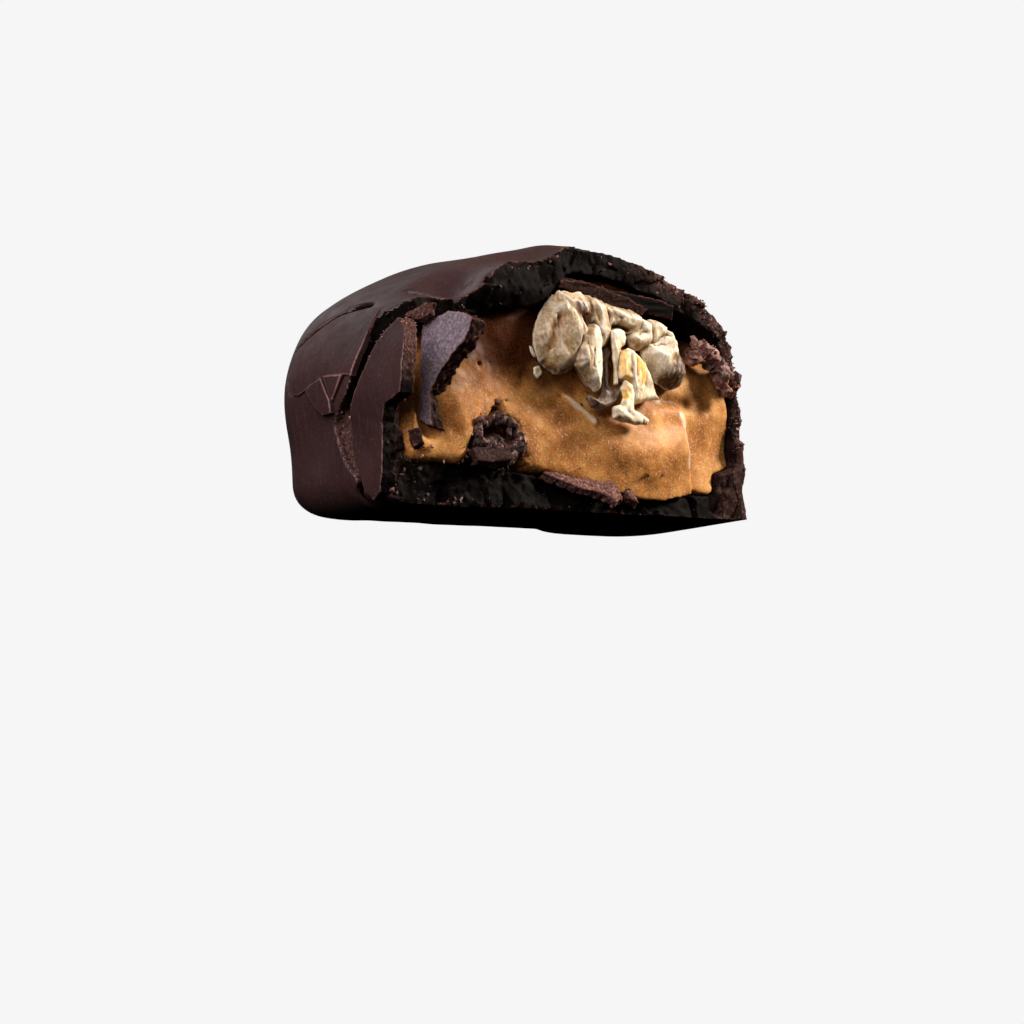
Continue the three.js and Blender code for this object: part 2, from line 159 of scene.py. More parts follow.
def outline_distance(u, v, outline):
    """Distance from a closed outline of [u, v] points, below zero inside."""
    nearest = np.inf
    inside = np.zeros(np.broadcast(u, v).shape, bool)
    points = np.array(outline, float)
    for (au, av), (bu, bv) in zip(points, np.roll(points, -1, 0)):
        du, dv = bu - au, bv - av
        t = clamp(((u - au) * du + (v - av) * dv) / (du * du + dv * dv))
        nearest = np.minimum(nearest, np.hypot(u - au - t * du, v - av - t * dv))
        if av != bv:
            crossing = (v < av) != (v < bv)
            inside ^= crossing & (u < au + (v - av) * du / dv)
    return np.where(inside, -nearest, nearest)


def line_distance(u, v, line):
    """Distance from an open line of [u, v] points."""
    nearest = np.inf
    for (au, av), (bu, bv) in zip(line[:-1], line[1:]):
        du, dv = bu - au, bv - av
        t = clamp(((u - au) * du + (v - av) * dv) / (du * du + dv * dv))
        nearest = np.minimum(nearest, np.hypot(u - au - t * du, v - av - t * dv))
    return nearest


def rounded(line, parts=6):
    """A smooth line through points, as more points."""
    points = np.array(line, float)
    ends = np.vstack([2 * points[0] - points[1], points, 2 * points[-1] - points[-2]])
    t = np.linspace(0, 1, parts, endpoint=False)[:, None]
    spans = []
    for a, b, c, d in zip(ends[:-3], ends[1:-2], ends[2:-1], ends[3:]):
        spans.append(0.5 * (2 * b + (c - a) * t + (2 * a - 5 * b + 4 * c - d) * t**2
                            + (3 * b - a - 3 * c + d) * t**3))
    return np.vstack(spans + [points[-1:]])


def blob(x, y, z, at, half, turn=0.0):
    """An ellipsoid; turn rotates it in the face of the break, in degrees."""
    a = np.radians(turn)
    dx, dz = x - at[0], z - at[2]
    u = (dx * np.cos(a) + dz * np.sin(a)) / half[0]
    w = (dz * np.cos(a) - dx * np.sin(a)) / half[2]
    v = (y - at[1]) / half[1]
    far = np.sqrt(u * u + v * v + w * w) + 1e-6
    steep = np.sqrt((u / half[0]) ** 2 + (v / half[1]) ** 2 + (w / half[2]) ** 2) + 1e-6
    return far * (far - 1) / steep


# ---- meshes ----------------------------------------------------------------------------------


def ladder(low, high, step, far=None, grow_after=None):
    """Grid lines from low to high, a step apart, and wider apart towards far behind grow_after."""
    lines = [low]
    while lines[-1] < high:
        if far and lines[-1] > grow_after:
            step = min(step * 1.08, far)
        lines.append(lines[-1] + step)
    return np.array(lines)


def skin(field, axes):
    """The surface where a field on a grid is zero: corners, four-sided faces.

    A cell of the grid that the surface passes through gives a corner, in the middle of the places
    where it cuts the cell's edges, and an edge that it cuts gives a face between four cells."""
    field = np.pad(field, 1, constant_values=1.0)
    axes = [np.concatenate([[a[0] - 1e-3], a, [a[-1] + 1e-3]]) for a in axes]
    shape = [n - 1 for n in field.shape]
    ids, spots, loops = [], [], []
    for axis in range(3):
        low = np.moveaxis(field, axis, 0)[:-1]
        high = np.moveaxis(field, axis, 0)[1:]
        found = np.argwhere((low < 0) != (high < 0))
        near, past = low[tuple(found.T)], high[tuple(found.T)]
        order = [axis] + [n for n in range(3) if n != axis]
        cell = np.empty_like(found)
        cell[:, order] = found
        spot = np.stack([axes[n][cell[:, n]] for n in range(3)], 1)
        line = axes[axis]
        spot[:, axis] += near / (near - past) * (line[cell[:, axis] + 1] - line[cell[:, axis]])
        b, c = (axis + 1) % 3, (axis + 2) % 3
        ring = []
        for back_b, back_c in ((1, 1), (0, 1), (0, 0), (1, 0)):
            beside = cell.copy()
            beside[:, b] -= back_b
            beside[:, c] -= back_c
            ring.append(np.ravel_multi_index(beside.T, shape))
            ids.append(ring[-1])
            spots.append(spot)
        ring = np.stack(ring, 1)
        loops.append(np.where((near < 0)[:, None], ring, ring[:, ::-1]))
    unique, places = np.unique(np.concatenate(ids), return_inverse=True)
    count = np.bincount(places)
    spots = np.concatenate(spots)
    corners = np.stack([np.bincount(places, spots[:, n]) / count for n in range(3)], 1)
    return corners, np.searchsorted(unique, np.concatenate(loops))


def on_grid(form, low, high, step, detail=None, band=0.5, far=None, grow_after=None):
    """Reads a form off on a grid; detail adds relief to it, within a band of its surface."""
    axes = [
        ladder(low[0], high[0], step),
        ladder(low[1], high[1], step, far, grow_after),
        ladder(low[2], high[2], step),
    ]
    x, y, z = axes[0][:, None, None], axes[1][None, :, None], axes[2][None, None, :]
    field = np.array(np.broadcast_to(form(x, y, z), [len(a) for a in axes]), float)
    if detail:
        near = np.nonzero(np.abs(field) < band)
        field[near] += detail(*[a[n] for a, n in zip(axes, near)])
    return skin(field, axes)


def ridges(corners, faces, step, rounds=4):
    """How far each corner stands proud of its neighbours, in steps, and the way it faces.

    More rounds look further about, and so find broader ridges and furrows."""
    edges = np.concatenate([faces[:, [n, (n + 1) % 4]] for n in range(4)])
    count = np.bincount(edges[:, 0], minlength=len(corners)).clip(1)
    calm = corners.copy()
    for _ in range(rounds):
        calm = np.stack([np.bincount(edges[:, 0], calm[edges[:, 1], n], len(corners)) / count
                         for n in range(3)], 1)
    a, b, c, d = (corners[faces[:, n]] for n in range(4))
    across = np.cross(c - a, d - b)
    normals = np.stack([np.bincount(faces.ravel(), np.repeat(across[:, n], 4), len(corners))
                        for n in range(3)], 1)
    normals /= np.linalg.norm(normals, axis=1)[:, None].clip(1e-9)
    return ((corners - calm) * normals).sum(1) / step, normals


hosts = {}  # corners and facings of the pieces that crumbs lie on


def make_piece(name, corners, faces, materials, nodes, marks=None, smooth=True):
    """A mesh piece in metres, that rides on the chocolate and stands for the solids it replaces.

    The second of two materials goes on the faces that are marked broken."""
    mesh = bpy.data.meshes.new(name)
    mesh.vertices.add(len(corners))
    mesh.vertices.foreach_set("co", (np.asarray(corners) * MM).astype(np.float32).ravel())
    sides = faces.shape[1]
    mesh.loops.add(faces.size)
    mesh.loops.foreach_set("vertex_index", faces.astype(np.int32).ravel())
    mesh.polygons.add(len(faces))
    mesh.polygons.foreach_set("loop_start", np.arange(0, faces.size, sides, dtype=np.int32))
    mesh.update(calc_edges=True)
    mesh.polygons.foreach_set("use_smooth", np.full(len(faces), smooth))
    for mark, values in (marks or {}).items():
        layer = mesh.attributes.new(mark, "FLOAT", "POINT")
        layer.data.foreach_set("value", np.asarray(values, np.float32))
    for material in materials:
        mesh.materials.append(material)
    if len(materials) > 1:
        on_break = marks["broken"][faces].mean(1) > 0.5
        mesh.polygons.foreach_set("material_index", on_break.astype(np.int32))
    mesh.validate()
    piece = bpy.data.objects.new(name, mesh)
    bpy.context.scene.collection.objects.link(piece)
    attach(piece, "root")
    if nodes:
        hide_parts(*nodes)
    return piece


# ---- the form of shell and caramel -----------------------------------------------------------


def sag(x, y):
    """How far the cracked roof has been pushed down, most at the break."""
    across = sum(depth * bump(x, at, reach) for depth, at, reach in DENTS)
    return across * (1 - smoothstep(y, FRONT - 0.6, FRONT - 0.6 + DENT_RUN))


def roof_height(x, y):
    """Height of the moulded roof, with its dents and the pushed-up edge on the crown."""
    back = clamp((y - FRONT) / (BACK - FRONT))
    left = LEFT_FALL * np.maximum(-x, 0) / (WIDTH / 2)
    summit = SUMMIT[0] * bump(x, SUMMIT[1], 2.6) * bump(y, SUMMIT[2], 1.8)
    return HEIGHT - ARCH * (x - RIDGE_X) ** 2 + BACK_RISE * back**2 - left - sag(x, y) + summit


def left_reach(z):
    """How far the left wall stands out: it flares at its foot and swells at half height."""
    return WIDTH / 2 + FOOT_FLARE_LEFT * bump(z, FOOT_AT, 3) + LEFT_SWELL * bump(z, SWELL_AT, 4.5)


def right_reach(z):
    """How far the right wall stands out."""
    return WIDTH / 2 + FOOT_FLARE_RIGHT * bump(z, FOOT_AT, 3)


def outer_form(x, y, z):
    """The moulded outside, which runs on in front of the break."""
    roof = 0.95 * (z - roof_height(x, y))
    left = smooth_max(-x - left_reach(z), roof, SHOULDER_LEFT)
    right = smooth_max(x - right_reach(z), roof, SHOULDER_RIGHT)
    sides = smooth_max(np.maximum(left, right), y - BACK, BACK_ROUND)
    sharp_foot = FOOT_ROUND * smoothstep(x, 6, 15)
    return smooth_max(sides, -z - sharp_foot, FOOT_ROUND)


def inner_wall(z):
    """1 low on the left, where the inner half of the wall stayed whole."""
    return 1 - smoothstep(z, 7.5, 9.5)


def hollow_form(x, y, z):
    """The hollow of the shell: walls, roof and floor of their own thickness, with round corners."""
    left_wall = WALL_LEFT + INNER_WALL * inner_wall(z)
    right_wall = WALL_RIGHT + FOOT_BLOCK * (1 - smoothstep(z, FOOT_BLOCK_TOP - 0.6, FOOT_BLOCK_TOP + 0.4))
    side = np.maximum(-x - left_reach(z) + left_wall, x - right_reach(z) + right_wall)
    thick = ROOF + ROOF_THICK * bump(x, THICK_AT, THICK_REACH)
    roof = 0.95 * (z - roof_height(x, y) + thick)
    floor = lerp(FLOOR_LEFT, FLOOR_RIGHT, clamp((x + 12) / 22)) - z
    hollow = smooth_max(smooth_max(side, roof, 2.5), y - BACK + WALL_BACK, 2)
    return smooth_max(hollow, floor, 1.2)


# Height and place of the left wall's broken edge, which lies further back than the rest.
LEFT_EDGE = rounded([(-3, -4.4), (1.6, -3.2), (4, -1.5), (7, -0.9), (9.6, -2.8), (13, -3.9),
                     (17, -4.2), (26, -6.5)])


def break_at(x, z):
    """Where the shell ends at the break."""
    low = inner_wall(z)
    left = 1 - smoothstep(x, lerp(-19, -20.1, low), lerp(-16.5, -19.4, low))
    eave = smoothstep(x, -15.5, -12) * (1 - smoothstep(x, -1.5, 1)) * smoothstep(z, 14.5, 18)
    crags = CRAG * noise(x, 3, z, 2.6, SEED) + 0.45 * chips(x, 3, z, 2.0, SEED)
    crags = crags + 0.12 * chips(x, 5, z, 0.8, SEED + 9)
    crags = crags * (1 - 0.75 * left)
    straight = FRONT - EAVE * eave + 0.4 * (1 - smoothstep(z, 2, 4.5))
    return lerp(straight, np.interp(z, *LEFT_EDGE.T), left) + crags


def caramel_face(x, z):
    """Where the caramel's face lies."""
    out = sum(depth * bump(x, at, wide) * bump(z, up, tall) for depth, at, wide, up, tall in LOBES)
    left_limit = -18.9 + 0.42 * (z - 5)
    drawn = DRAWN_LEFT * (1 - smoothstep(x, left_limit - 1.2, left_limit + 0.8))
    drawn = drawn + DRAWN_RIGHT * smoothstep(x, 13.8, 15.4)
    return FRONT - out + drawn


def room_form(x, y, z):
    """The room for the caramel, which droops over the floor at the break."""
    outside = 1 - smoothstep(y, FRONT - 0.6, FRONT + 0.5)
    droop = outside * (DROOP * bump(x, 8, 5.5) + 0.3) * (1 - smoothstep(z, 2, 8))
    return hollow_form(x, y, z + droop)


# ---- colours and materials -------------------------------------------------------------------


def colour(text):
    """An sRGB hex colour as linear light."""
    parts = [int(text[n:n + 2], 16) / 255 for n in (1, 3, 5)]
    return (*[p / 12.92 if p <= 0.04045 else ((p + 0.055) / 1.055) ** 2.4 for p in parts], 1.0)


def add(tree, kind, links=None, **settings):
    """Adds a node with its settings; links gives each input's value or the output it comes from."""
    made = tree.nodes.new(kind)
    for name, value in settings.items():
        setattr(made, name, value)
    for name, value in (links or {}).items():
        if isinstance(value, bpy.types.NodeSocket):
            tree.links.new(value, made.inputs[name])
        else:
            made.inputs[name].default_value = value
    return made


def new_material(name):
    material = bpy.data.materials.new(name)
    material.use_nodes = True
    tree = material.node_tree
    tree.nodes.clear()
    return material, tree


def pattern(tree, size_mm, detail=2.0, stretch=(1, 1, 1), rough=0.5):
    """Noise with a lump about every size_mm, stretched along an axis where asked."""
    place = add(tree, "ShaderNodeTexCoord").outputs["Object"]
    place = add(tree, "ShaderNodeMapping", {0: place, "Scale": stretch}).outputs[0]
    made = add(tree, "ShaderNodeTexNoise",
               {"Vector": place, "Scale": 1 / (size_mm * MM), "Detail": detail, "Roughness": rough})
    return made.outputs[0]


def grade(tree, value, *stops):
    """A ramp from a value to colours, each stop a place and an sRGB colour."""
    made = add(tree, "ShaderNodeValToRGB", {0: value})
    ramp = made.color_ramp
    while len(ramp.elements) < len(stops):
        ramp.elements.new(0.5)
    for element, (place, text) in zip(ramp.elements, stops):
        element.position = place
        element.color = colour(text)
    return made.outputs[0]


def spread(tree, value, low, high, to_low=0.0, to_high=1.0):
    """Maps a value from one range to another and stops at its ends."""
    made = add(tree, "ShaderNodeMapRange", {0: value, 1: low, 2: high, 3: to_low, 4: to_high})
    return made.outputs[0]


def times(tree, a, b):
    """The product of two values."""
    return add(tree, "ShaderNodeMath", {0: a, 1: b}, operation="MULTIPLY").outputs[0]


def blend(tree, amount, below, above):
    """Colour above over colour below, by an amount."""
    made = add(tree, "ShaderNodeMix", data_type="RGBA")
    for socket, value in ((made.inputs[0], amount), (made.inputs[6], below), (made.inputs[7], above)):
        if isinstance(value, bpy.types.NodeSocket):
            tree.links.new(value, socket)
        else:
            socket.default_value = value
    return made.outputs[2]


def relief(tree, height, depth_mm, after=None):
    """Fine bumps of a depth, on top of other bumps where there are any."""
    links = {"Height": height, "Distance": depth_mm * MM, "Strength": 1.0}
    if after is not None:
        links["Normal"] = after
    return add(tree, "ShaderNodeBump", links).outputs[0]


def close_material(tree, inputs):
    """Ends a material with one shader that has these inputs."""
    shader = add(tree, "ShaderNodeBsdfPrincipled", inputs)
    add(tree, "ShaderNodeOutputMaterial", {"Surface": shader.outputs[0]})


def mark_of(tree, name):
    """A mark that the mesh carries on its corners."""
    return add(tree, "ShaderNodeAttribute", attribute_name=name).outputs["Fac"]


def tempered_chocolate():
    """Tempered dark chocolate, moulded: a satin reddish-brown skin with fine upright streaks, grey
    bloom where the fat has come out, and a thin pinkish painted highlight along its broken edges, for
    light shining through and along them."""
    material, tree = new_material("tempered_dark_chocolate")
    ridge, frost = mark_of(tree, "ridge"), mark_of(tree, "frost")
    streaks = pattern(tree, 0.26, 2, (1, 1, 0.09))  # streaks left by the mould, 0.3 mm apart
    wide_streaks = pattern(tree, 1.4, 3, (1, 1, 0.16), 0.6)
    clouds = pattern(tree, 5.0, 4, rough=0.6)
    grit = pattern(tree, 0.24, 3, rough=0.75)  # bloom grains, coarser than the real so that they show
    specks = pattern(tree, 0.15, 1)  # dust on the skin, twice the real size
    body = grade(tree, clouds, (0.3, "#2C1817"), (0.7, "#3D2422"))
    body = blend(tree, times(tree, spread(tree, streaks, 0.5, 0.8), 0.28), body, colour("#543835"))
    body = blend(tree, times(tree, spread(tree, wide_streaks, 0.5, 0.8), 0.35), body, colour("#221211"))
    body = blend(tree, times(tree, spread(tree, specks, 0.60, 0.72), 0.09), body, colour("#8E7A7A"))
    bloom = grade(tree, grit, (0.30, "#4E3E42"), (0.5, "#76666C"), (0.72, "#A3949A"))
    body = blend(tree, times(tree, frost, 0.9), body, bloom)
    # Painted highlight: pinkish along proud broken edges, for light shining through and along them.
    edge = times(tree, spread(tree, ridge, 0.22, 0.5), spread(tree, clouds, 0.35, 0.65, 0.15, 0.8))
    body = blend(tree, edge, body, colour("#8A635C"))
    rough = spread(tree, wide_streaks, 0.35, 0.75, 0.40, 0.60)
    normal = relief(tree, streaks, 0.008)
    normal = relief(tree, clouds, 0.10, normal)
    normal = relief(tree, times(tree, grit, spread(tree, frost, 0, 1, 0.15, 1)), 0.05, normal)
    close_material(tree, {"Base Color": body, "Roughness": rough, "Normal": normal,
                          "IOR": 1.46, "Specular IOR Level": 0.36})
    return material


def broken_chocolate():
    """Broken dark chocolate: a dull, nearly black face of small facets, specked with grey cocoa grit,
    and a reddish brown painted highlight along its thin edges, for light shining through them."""
    material, tree = new_material("broken_dark_chocolate")
    ridge, frost = mark_of(tree, "ridge"), mark_of(tree, "frost")
    grit = pattern(tree, 0.24, 3, rough=0.75)
    clouds = pattern(tree, 1.6, 4, rough=0.6)
    scratches = pattern(tree, 0.22, 2, (0.15, 1, 1), 0.6)
    body = grade(tree, clouds, (0.4, "#060303"), (0.62, "#0B0605"), (0.8, "#1E100D"))
    body = blend(tree, times(tree, spread(tree, scratches, 0.58, 0.75), 0.2), body, colour("#33201B"))
    body = blend(tree, times(tree, spread(tree, grit, 0.66, 0.74), 0.35), body, colour("#6A4E46"))
    bloom = grade(tree, grit, (0.35, "#3A2320"), (0.55, "#744F47"), (0.72, "#B8938A"))
    body = blend(tree, times(tree, frost, 0.9), body, bloom)
    # Painted highlight: reddish brown along proud thin edges, for light shining through them.
    edge = times(tree, spread(tree, ridge, 0.22, 0.55), spread(tree, clouds, 0.40, 0.62, 0.1, 0.9))
    body = blend(tree, edge, body, grade(tree, grit, (0.4, "#562B22"), (0.65, "#8A5444")))
    close_material(tree, {"Base Color": body, "Normal": relief(tree, grit, 0.035),
                          "Roughness": 0.7, "IOR": 1.46, "Specular IOR Level": 0.03})
    return material


def crumb_material():
    """Crumbs of dark chocolate: dull reddish brown, paler where they are dusty."""
    material, tree = new_material("dark_chocolate_crumbs")
    tone = mark_of(tree, "tone")
    grit = pattern(tree, 0.2, 3, rough=0.7)
    body = grade(tree, tone, (0.0, "#1C0F0D"), (0.4, "#432720"), (0.75, "#6B4236"), (1.0, "#A5796A"))
    body = blend(tree, times(tree, spread(tree, grit, 0.5, 0.75), 0.4), body, colour("#B08A7C"))
    close_material(tree, {"Base Color": body, "Normal": relief(tree, grit, 0.06),
                          "Roughness": 0.6, "IOR": 1.46, "Specular IOR Level": 0.35})
    return material


def soft_caramel():
    """Soft cooked caramel, torn: moist and translucent, golden tan with fine sugar grain and amber where it
    thins out. Dark brown painted shade lies under the roof, round the nuts and in the notch, over a little
    real toasting; its furrows are darker with painted shade, and a pale painted highlight lies where it
    is wet."""
    material, tree = new_material("soft_cooked_caramel")
    toast_and_shade, ridge, wet_and_highlight = [mark_of(tree, mark) for mark in ("toast_and_shade", "ridge", "wet_and_highlight")]
    grain = pattern(tree, 0.17, 2, rough=0.7)  # sugar grain, drawn at 0.17 mm so that it shows
    crystals = pattern(tree, 0.18, 1)
    clouds = pattern(tree, 2.6, 4, rough=0.6)
    body = grade(tree, clouds, (0.3, "#945620"), (0.5, "#B87634"), (0.72, "#D69C54"))
    body = blend(tree, times(tree, spread(tree, grain, 0.52, 0.75), 0.45), body, colour("#DFB26A"))
    body = blend(tree, times(tree, spread(tree, grain, 0.45, 0.28), 0.45), body, colour("#84470F"))
    body = blend(tree, times(tree, spread(tree, crystals, 0.58, 0.72), 0.40), body, colour("#F2DCAE"))
    # Painted highlight: pale cream where the caramel is wet and shines.
    body = blend(tree, times(tree, wet_and_highlight, 0.62), body, colour("#F2DCBA"))
    # Painted shade: near-black brown where the caramel lies in shade, over a little real toasting.
    body = blend(tree, toast_and_shade, body, grade(tree, grain, (0.35, "#2C1206"), (0.65, "#542A10")))
    # Painted shade: darker brown in the furrows.
    body = blend(tree, times(tree, spread(tree, ridge, -0.12, -0.5), 0.7), body, colour("#6E3812"))
    rough = spread(tree, grain, 0.3, 0.7, 0.50, 0.72)
    close_material(tree, {
        "Base Color": body, "Roughness": rough, "Normal": relief(tree, grain, 0.035),
        "Coat Weight": spread(tree, wet_and_highlight, 0.0, 1.0, 0.03, 0.6),
        "Specular IOR Level": spread(tree, toast_and_shade, 0.0, 0.7, 0.15, 0.03),
        "Subsurface Weight": 0.25, "Subsurface Radius": (1.0, 0.45, 0.12), "Subsurface Scale": 0.8 * MM,
        "IOR": 1.47, "Coat Roughness": 0.30, "Coat IOR": 1.5,
    })
    return material


def hazelnut_flesh():
    """Roasted hazelnut kernel, broken: waxy ivory with a faint grain along the nut and toasted yellow in
    patches. Painted shade browns its creases, hollows and shaded sides, deepest where the cluster shades
    it, and a painted highlight pales its lit sides and proud ridges, over some truly pale flesh."""
    material, tree = new_material("roasted_hazelnut_kernel")
    toast_and_shade, shade, pale_and_highlight, ridge = [mark_of(tree, mark) for mark in ("toast_and_shade", "shade", "pale_and_highlight", "ridge")]
    fibre = pattern(tree, 0.20, 3, (1, 1, 0.3), 0.7)  # fibres of the kernel, 0.2 mm
    mottle = pattern(tree, 0.22, 3, rough=0.7)
    clouds = pattern(tree, 0.9, 5, rough=0.65)
    body = grade(tree, clouds,
                 (0.32, "#8E6C3E"), (0.43, "#BE9F6C"), (0.56, "#DCC699"), (0.68, "#F6EBD0"))
    body = blend(tree, times(tree, spread(tree, fibre, 0.5, 0.3), 0.5), body, colour("#8E7450"))
    body = blend(tree, times(tree, spread(tree, mottle, 0.46, 0.3), 0.5), body, colour("#8A7350"))
    body = blend(tree, times(tree, spread(tree, mottle, 0.56, 0.7), 0.5), body, colour("#FBF5E6"))
    ivory = grade(tree, fibre, (0.3, "#E8DCC0"), (0.6, "#FCF6E8"))
    # Painted highlight, over some truly pale flesh: ivory along the lit sides and crests.
    body = blend(tree, times(tree, pale_and_highlight, 0.7), body, ivory)
    # In the nut this mark is yellow toasting only.
    body = blend(tree, toast_and_shade, body, grade(tree, clouds, (0.35, "#E39A1C"), (0.6, "#F6C24A")))
    # Painted shade: brown in hollows, between nuts and on shaded sides, and the tint over a whole nut.
    body = blend(tree, shade, body, grade(tree, mottle, (0.35, "#4A2608"), (0.65, "#94601E")))
    # Painted shadow: near black where the shade is deepest.
    body = blend(tree, times(tree, spread(tree, shade, 0.7, 1.0), 0.7), body, colour("#331A0A"))
    # Painted shade: darker brown in creases and broad hollows.
    deep = grade(tree, spread(tree, ridge, -0.05, -0.45),
                 (0.0, "#BC9456"), (0.5, "#8E5A1C"), (1.0, "#5A300C"))
    body = blend(tree, times(tree, spread(tree, ridge, -0.03, -0.28), 0.85), body, deep)
    # Painted highlight: paler on proud ridges.
    body = blend(tree, times(tree, spread(tree, ridge, 0.15, 0.5), 0.4), body, colour("#F8F0DC"))
    close_material(tree, {
        "Base Color": body, "Roughness": spread(tree, fibre, 0.3, 0.7, 0.40, 0.62),
        "Normal": relief(tree, fibre, 0.08),
        "Subsurface Weight": 0.2, "Subsurface Radius": (1.0, 0.7, 0.4), "Subsurface Scale": 0.4 * MM,
        "IOR": 1.47, "Coat Weight": 0.10, "Coat Roughness": 0.3,
    })
    return material


def nut_skin_material():
    """Hazelnut skin: thin, papery and brown, with darker veins."""
    material, tree = new_material("hazelnut_skin")
    veins = pattern(tree, 0.3, 3, (1, 1, 0.4))
    body = grade(tree, veins, (0.3, "#3E2A20"), (0.6, "#7C6452"), (0.8, "#A08A76"))
    close_material(tree, {"Base Color": body, "Normal": relief(tree, veins, 0.05),
                          "Roughness": 0.6, "IOR": 1.45})
    return material


moulded = tempered_chocolate()
fractured = broken_chocolate()
crumbly = crumb_material()
caramel = soft_caramel()
kernel = hazelnut_flesh()
papery = nut_skin_material()

# ---- shell -----------------------------------------------------------------------------------

# The crack round the plate that lifted on the left shoulder, as places along y and z.
CRACK = rounded([(0.9, 16.3), (2.2, 15.6), (3.5, 14.6), (4.8, 13.3), (5.0, 12.1), (4.7, 11.0),
                 (4.2, 10.2)])
CRACK_HOLE = ((-17.3, -0.5, 16.75), (1.0, 1.5, 0.42), 0)  # where a scrap is missing beside it
TOP_CRACK = rounded([(-14.6, -3.6), (-14.2, -4.4), (-13.2, -5.6), (-12.9, -7.4)])  # along x and y
WALL_CRACK = [(-3.1, 1.9), (-2.5, 1.2), (-2.6, 0.0)]  # along y and z, at the foot
CRACK_DEPTH, CRACK_EDGES = 0.6, (0.10, 0.32)  # its full depth reaches the first, none the second
TOP_CRACK_DEPTH, TOP_CRACK_EDGES = 0.9, (0.12, 0.34)
SHELL_STEP, CARAMEL_STEP = 0.16, 0.16


def shell_outside(x, y, z):
    """The moulded outside with its cracks cut in."""
    outer = outer_form(x, y, z)
    on_left = 1 - smoothstep(x, -16, -12)
    flat_y, flat_z = np.broadcast_arrays(y[0], z[0])
    crack = np.minimum(line_distance(flat_y, flat_z, CRACK), line_distance(flat_y, flat_z, WALL_CRACK))
    depth = CRACK_DEPTH * on_left * (1 - smoothstep(crack, *CRACK_EDGES)[None])
    flat_x, flat_y = np.broadcast_arrays(x[:, :, 0], y[:, :, 0])
    top_crack = line_distance(flat_x, flat_y, TOP_CRACK)[:, :, None]
    on_top = smoothstep(z, 16, 17)
    depth = depth + TOP_CRACK_DEPTH * on_top * (1 - smoothstep(top_crack, *TOP_CRACK_EDGES))
    return smooth_max(outer + depth, -blob(x, y, z, *CRACK_HOLE), 0.1)


def scraped_patch(x, y, z):
    """1 where the skin of the roof is scraped, near the break beside the crack on the crown."""
    return bump(y, -6.6, 0.9) * bump(x, -11.2, 2.4) * smoothstep(z, 16.5, 17.5)


def shell_form(x, y, z):
    """The outside, hollowed out as far back as can be seen, and ended at the break."""
    front = break_at(x[:, 0, :], z[:, 0, :])[:, None, :] - y
    hollow = np.maximum(room_form(x, y, z), y - HOLLOW_END)
    return np.maximum(np.maximum(shell_outside(x, y, z), -hollow), front)


def shell_relief(x, y, z):
    """Facets on the break, calm under the crown and ragged on the right, and faint waves outside."""
    near = smoothstep(break_at(x, z) - y, -0.6, -0.1)
    calm = 1 - 0.5 * bump(x, -6.0, 5.0) * smoothstep(z, 15.0, 17.0)
    on_right = smoothstep(x, 6.0, 10.0) * smoothstep(z, 4.0, 7.0)
    scraped = scraped_patch(x, y, z)
    crumbs = (0.07 * chips(x, y, z, 1.1, 23) + 0.05 * chips(x, y, z, 0.5, 24)) * calm
    crumbs = crumbs + 0.09 * chips(x, y, z, 0.8, 25) * on_right
    crumbs = crumbs + 0.10 * chips(x, y, z, 0.6, 26) * scraped * (1 - near)
    waves = 0.05 * noise(x, y, z, 4.0, 21) + 0.02 * noise(x, y, z, 1.8, 22)
    return np.maximum(near, scraped) * crumbs + waves


def shell_piece():
    """The shell: moulded outside and broken inside, greyed where the real break is dusty."""
    corners, faces = on_grid(shell_form, (-22.2, -9.4, -0.3), (20.9, 7.6, 23.0), SHELL_STEP, shell_relief,
                             far=0.26, grow_after=-4.0)
    corners[:, 2] = np.maximum(corners[:, 2], 0.0)
    x, y, z = corners.T
    ridge, normals = ridges(corners, faces, SHELL_STEP)
    outer = outer_form(x, y, z)
    facing_out = smoothstep(-normals[:, 1], 0.35, 0.7) * (y < break_at(x, z) + 0.8)
    on_break = np.where(outer > -0.25, facing_out, 1.0)
    left_outside = (1 - on_break) * (1 - smoothstep(x, -16.0, -14.0))
    # keen sets how strongly the painted edge highlight shows: most at the rim, less on the left outside.
    keen = (0.3 + 0.7 * bump(outer, 0.0, 0.3)) * (1 - 0.6 * left_outside)
    left_wall = bump(x, -20.4, 1.3) * (1 - smoothstep(z, 6.5, 9.5)) * smoothstep(z, 1.5, 3.0)
    right_rim = bump(outer, 0.0, 0.9) * smoothstep(x, 7.0, 11.0) * smoothstep(z, 4.0, 6.0)
    foot_block = smoothstep(x, 16.5, 17.5) * (1 - smoothstep(z, 4.5, 5.5))
    patches = 0.5 + 0.5 * noise(x, y, z, 0.9, 29)
    dusty = on_break * (0.5 * left_wall + 0.75 * right_rim * patches + 0.22 * foot_block)
    dusty = dusty + 0.5 * scraped_patch(x, y, z) * patches
    marks = {"broken": on_break, "ridge": ridge * keen, "frost": dusty}
    hosts["shell"] = corners, normals
    make_piece("broken_shell", corners, faces, [moulded, fractured], ["shell"], marks)


# Plates that lie loose on the left wall, as outlines along y and z, with how proud they stand there.
WALL_PLATES = {
    "lifted_plate": (
        [(0.9, 16.2), (2.1, 15.5), (3.35, 14.5), (4.6, 13.2), (4.8, 12.1), (4.5, 11.1), (4.1, 10.3),
         (3.8, 9.9), (3.0, 9.75), (2.1, 10.1), (0.3, 10.85), (-0.5, 10.9), (-2.7, 10.7), (-3.3, 10.5),
         (-3.6, 11.6), (-3.9, 12.8), (-4.0, 14.0), (-3.9, 15.2), (-3.7, 16.1), (-2.2, 16.45),
         (-0.6, 16.35)], 0.10, 0.10),
    "first_flake": (
        [(2.1, 10.15), (0.25, 10.85), (-0.9, 8.9), (-1.0, 7.8), (0.1, 7.75), (1.0, 8.6)], 0.30, 0.22),
    "second_flake": ([(-0.15, 10.95), (-2.5, 10.75), (-1.75, 9.7), (-1.0, 8.75)], 0.44, -0.20),
}


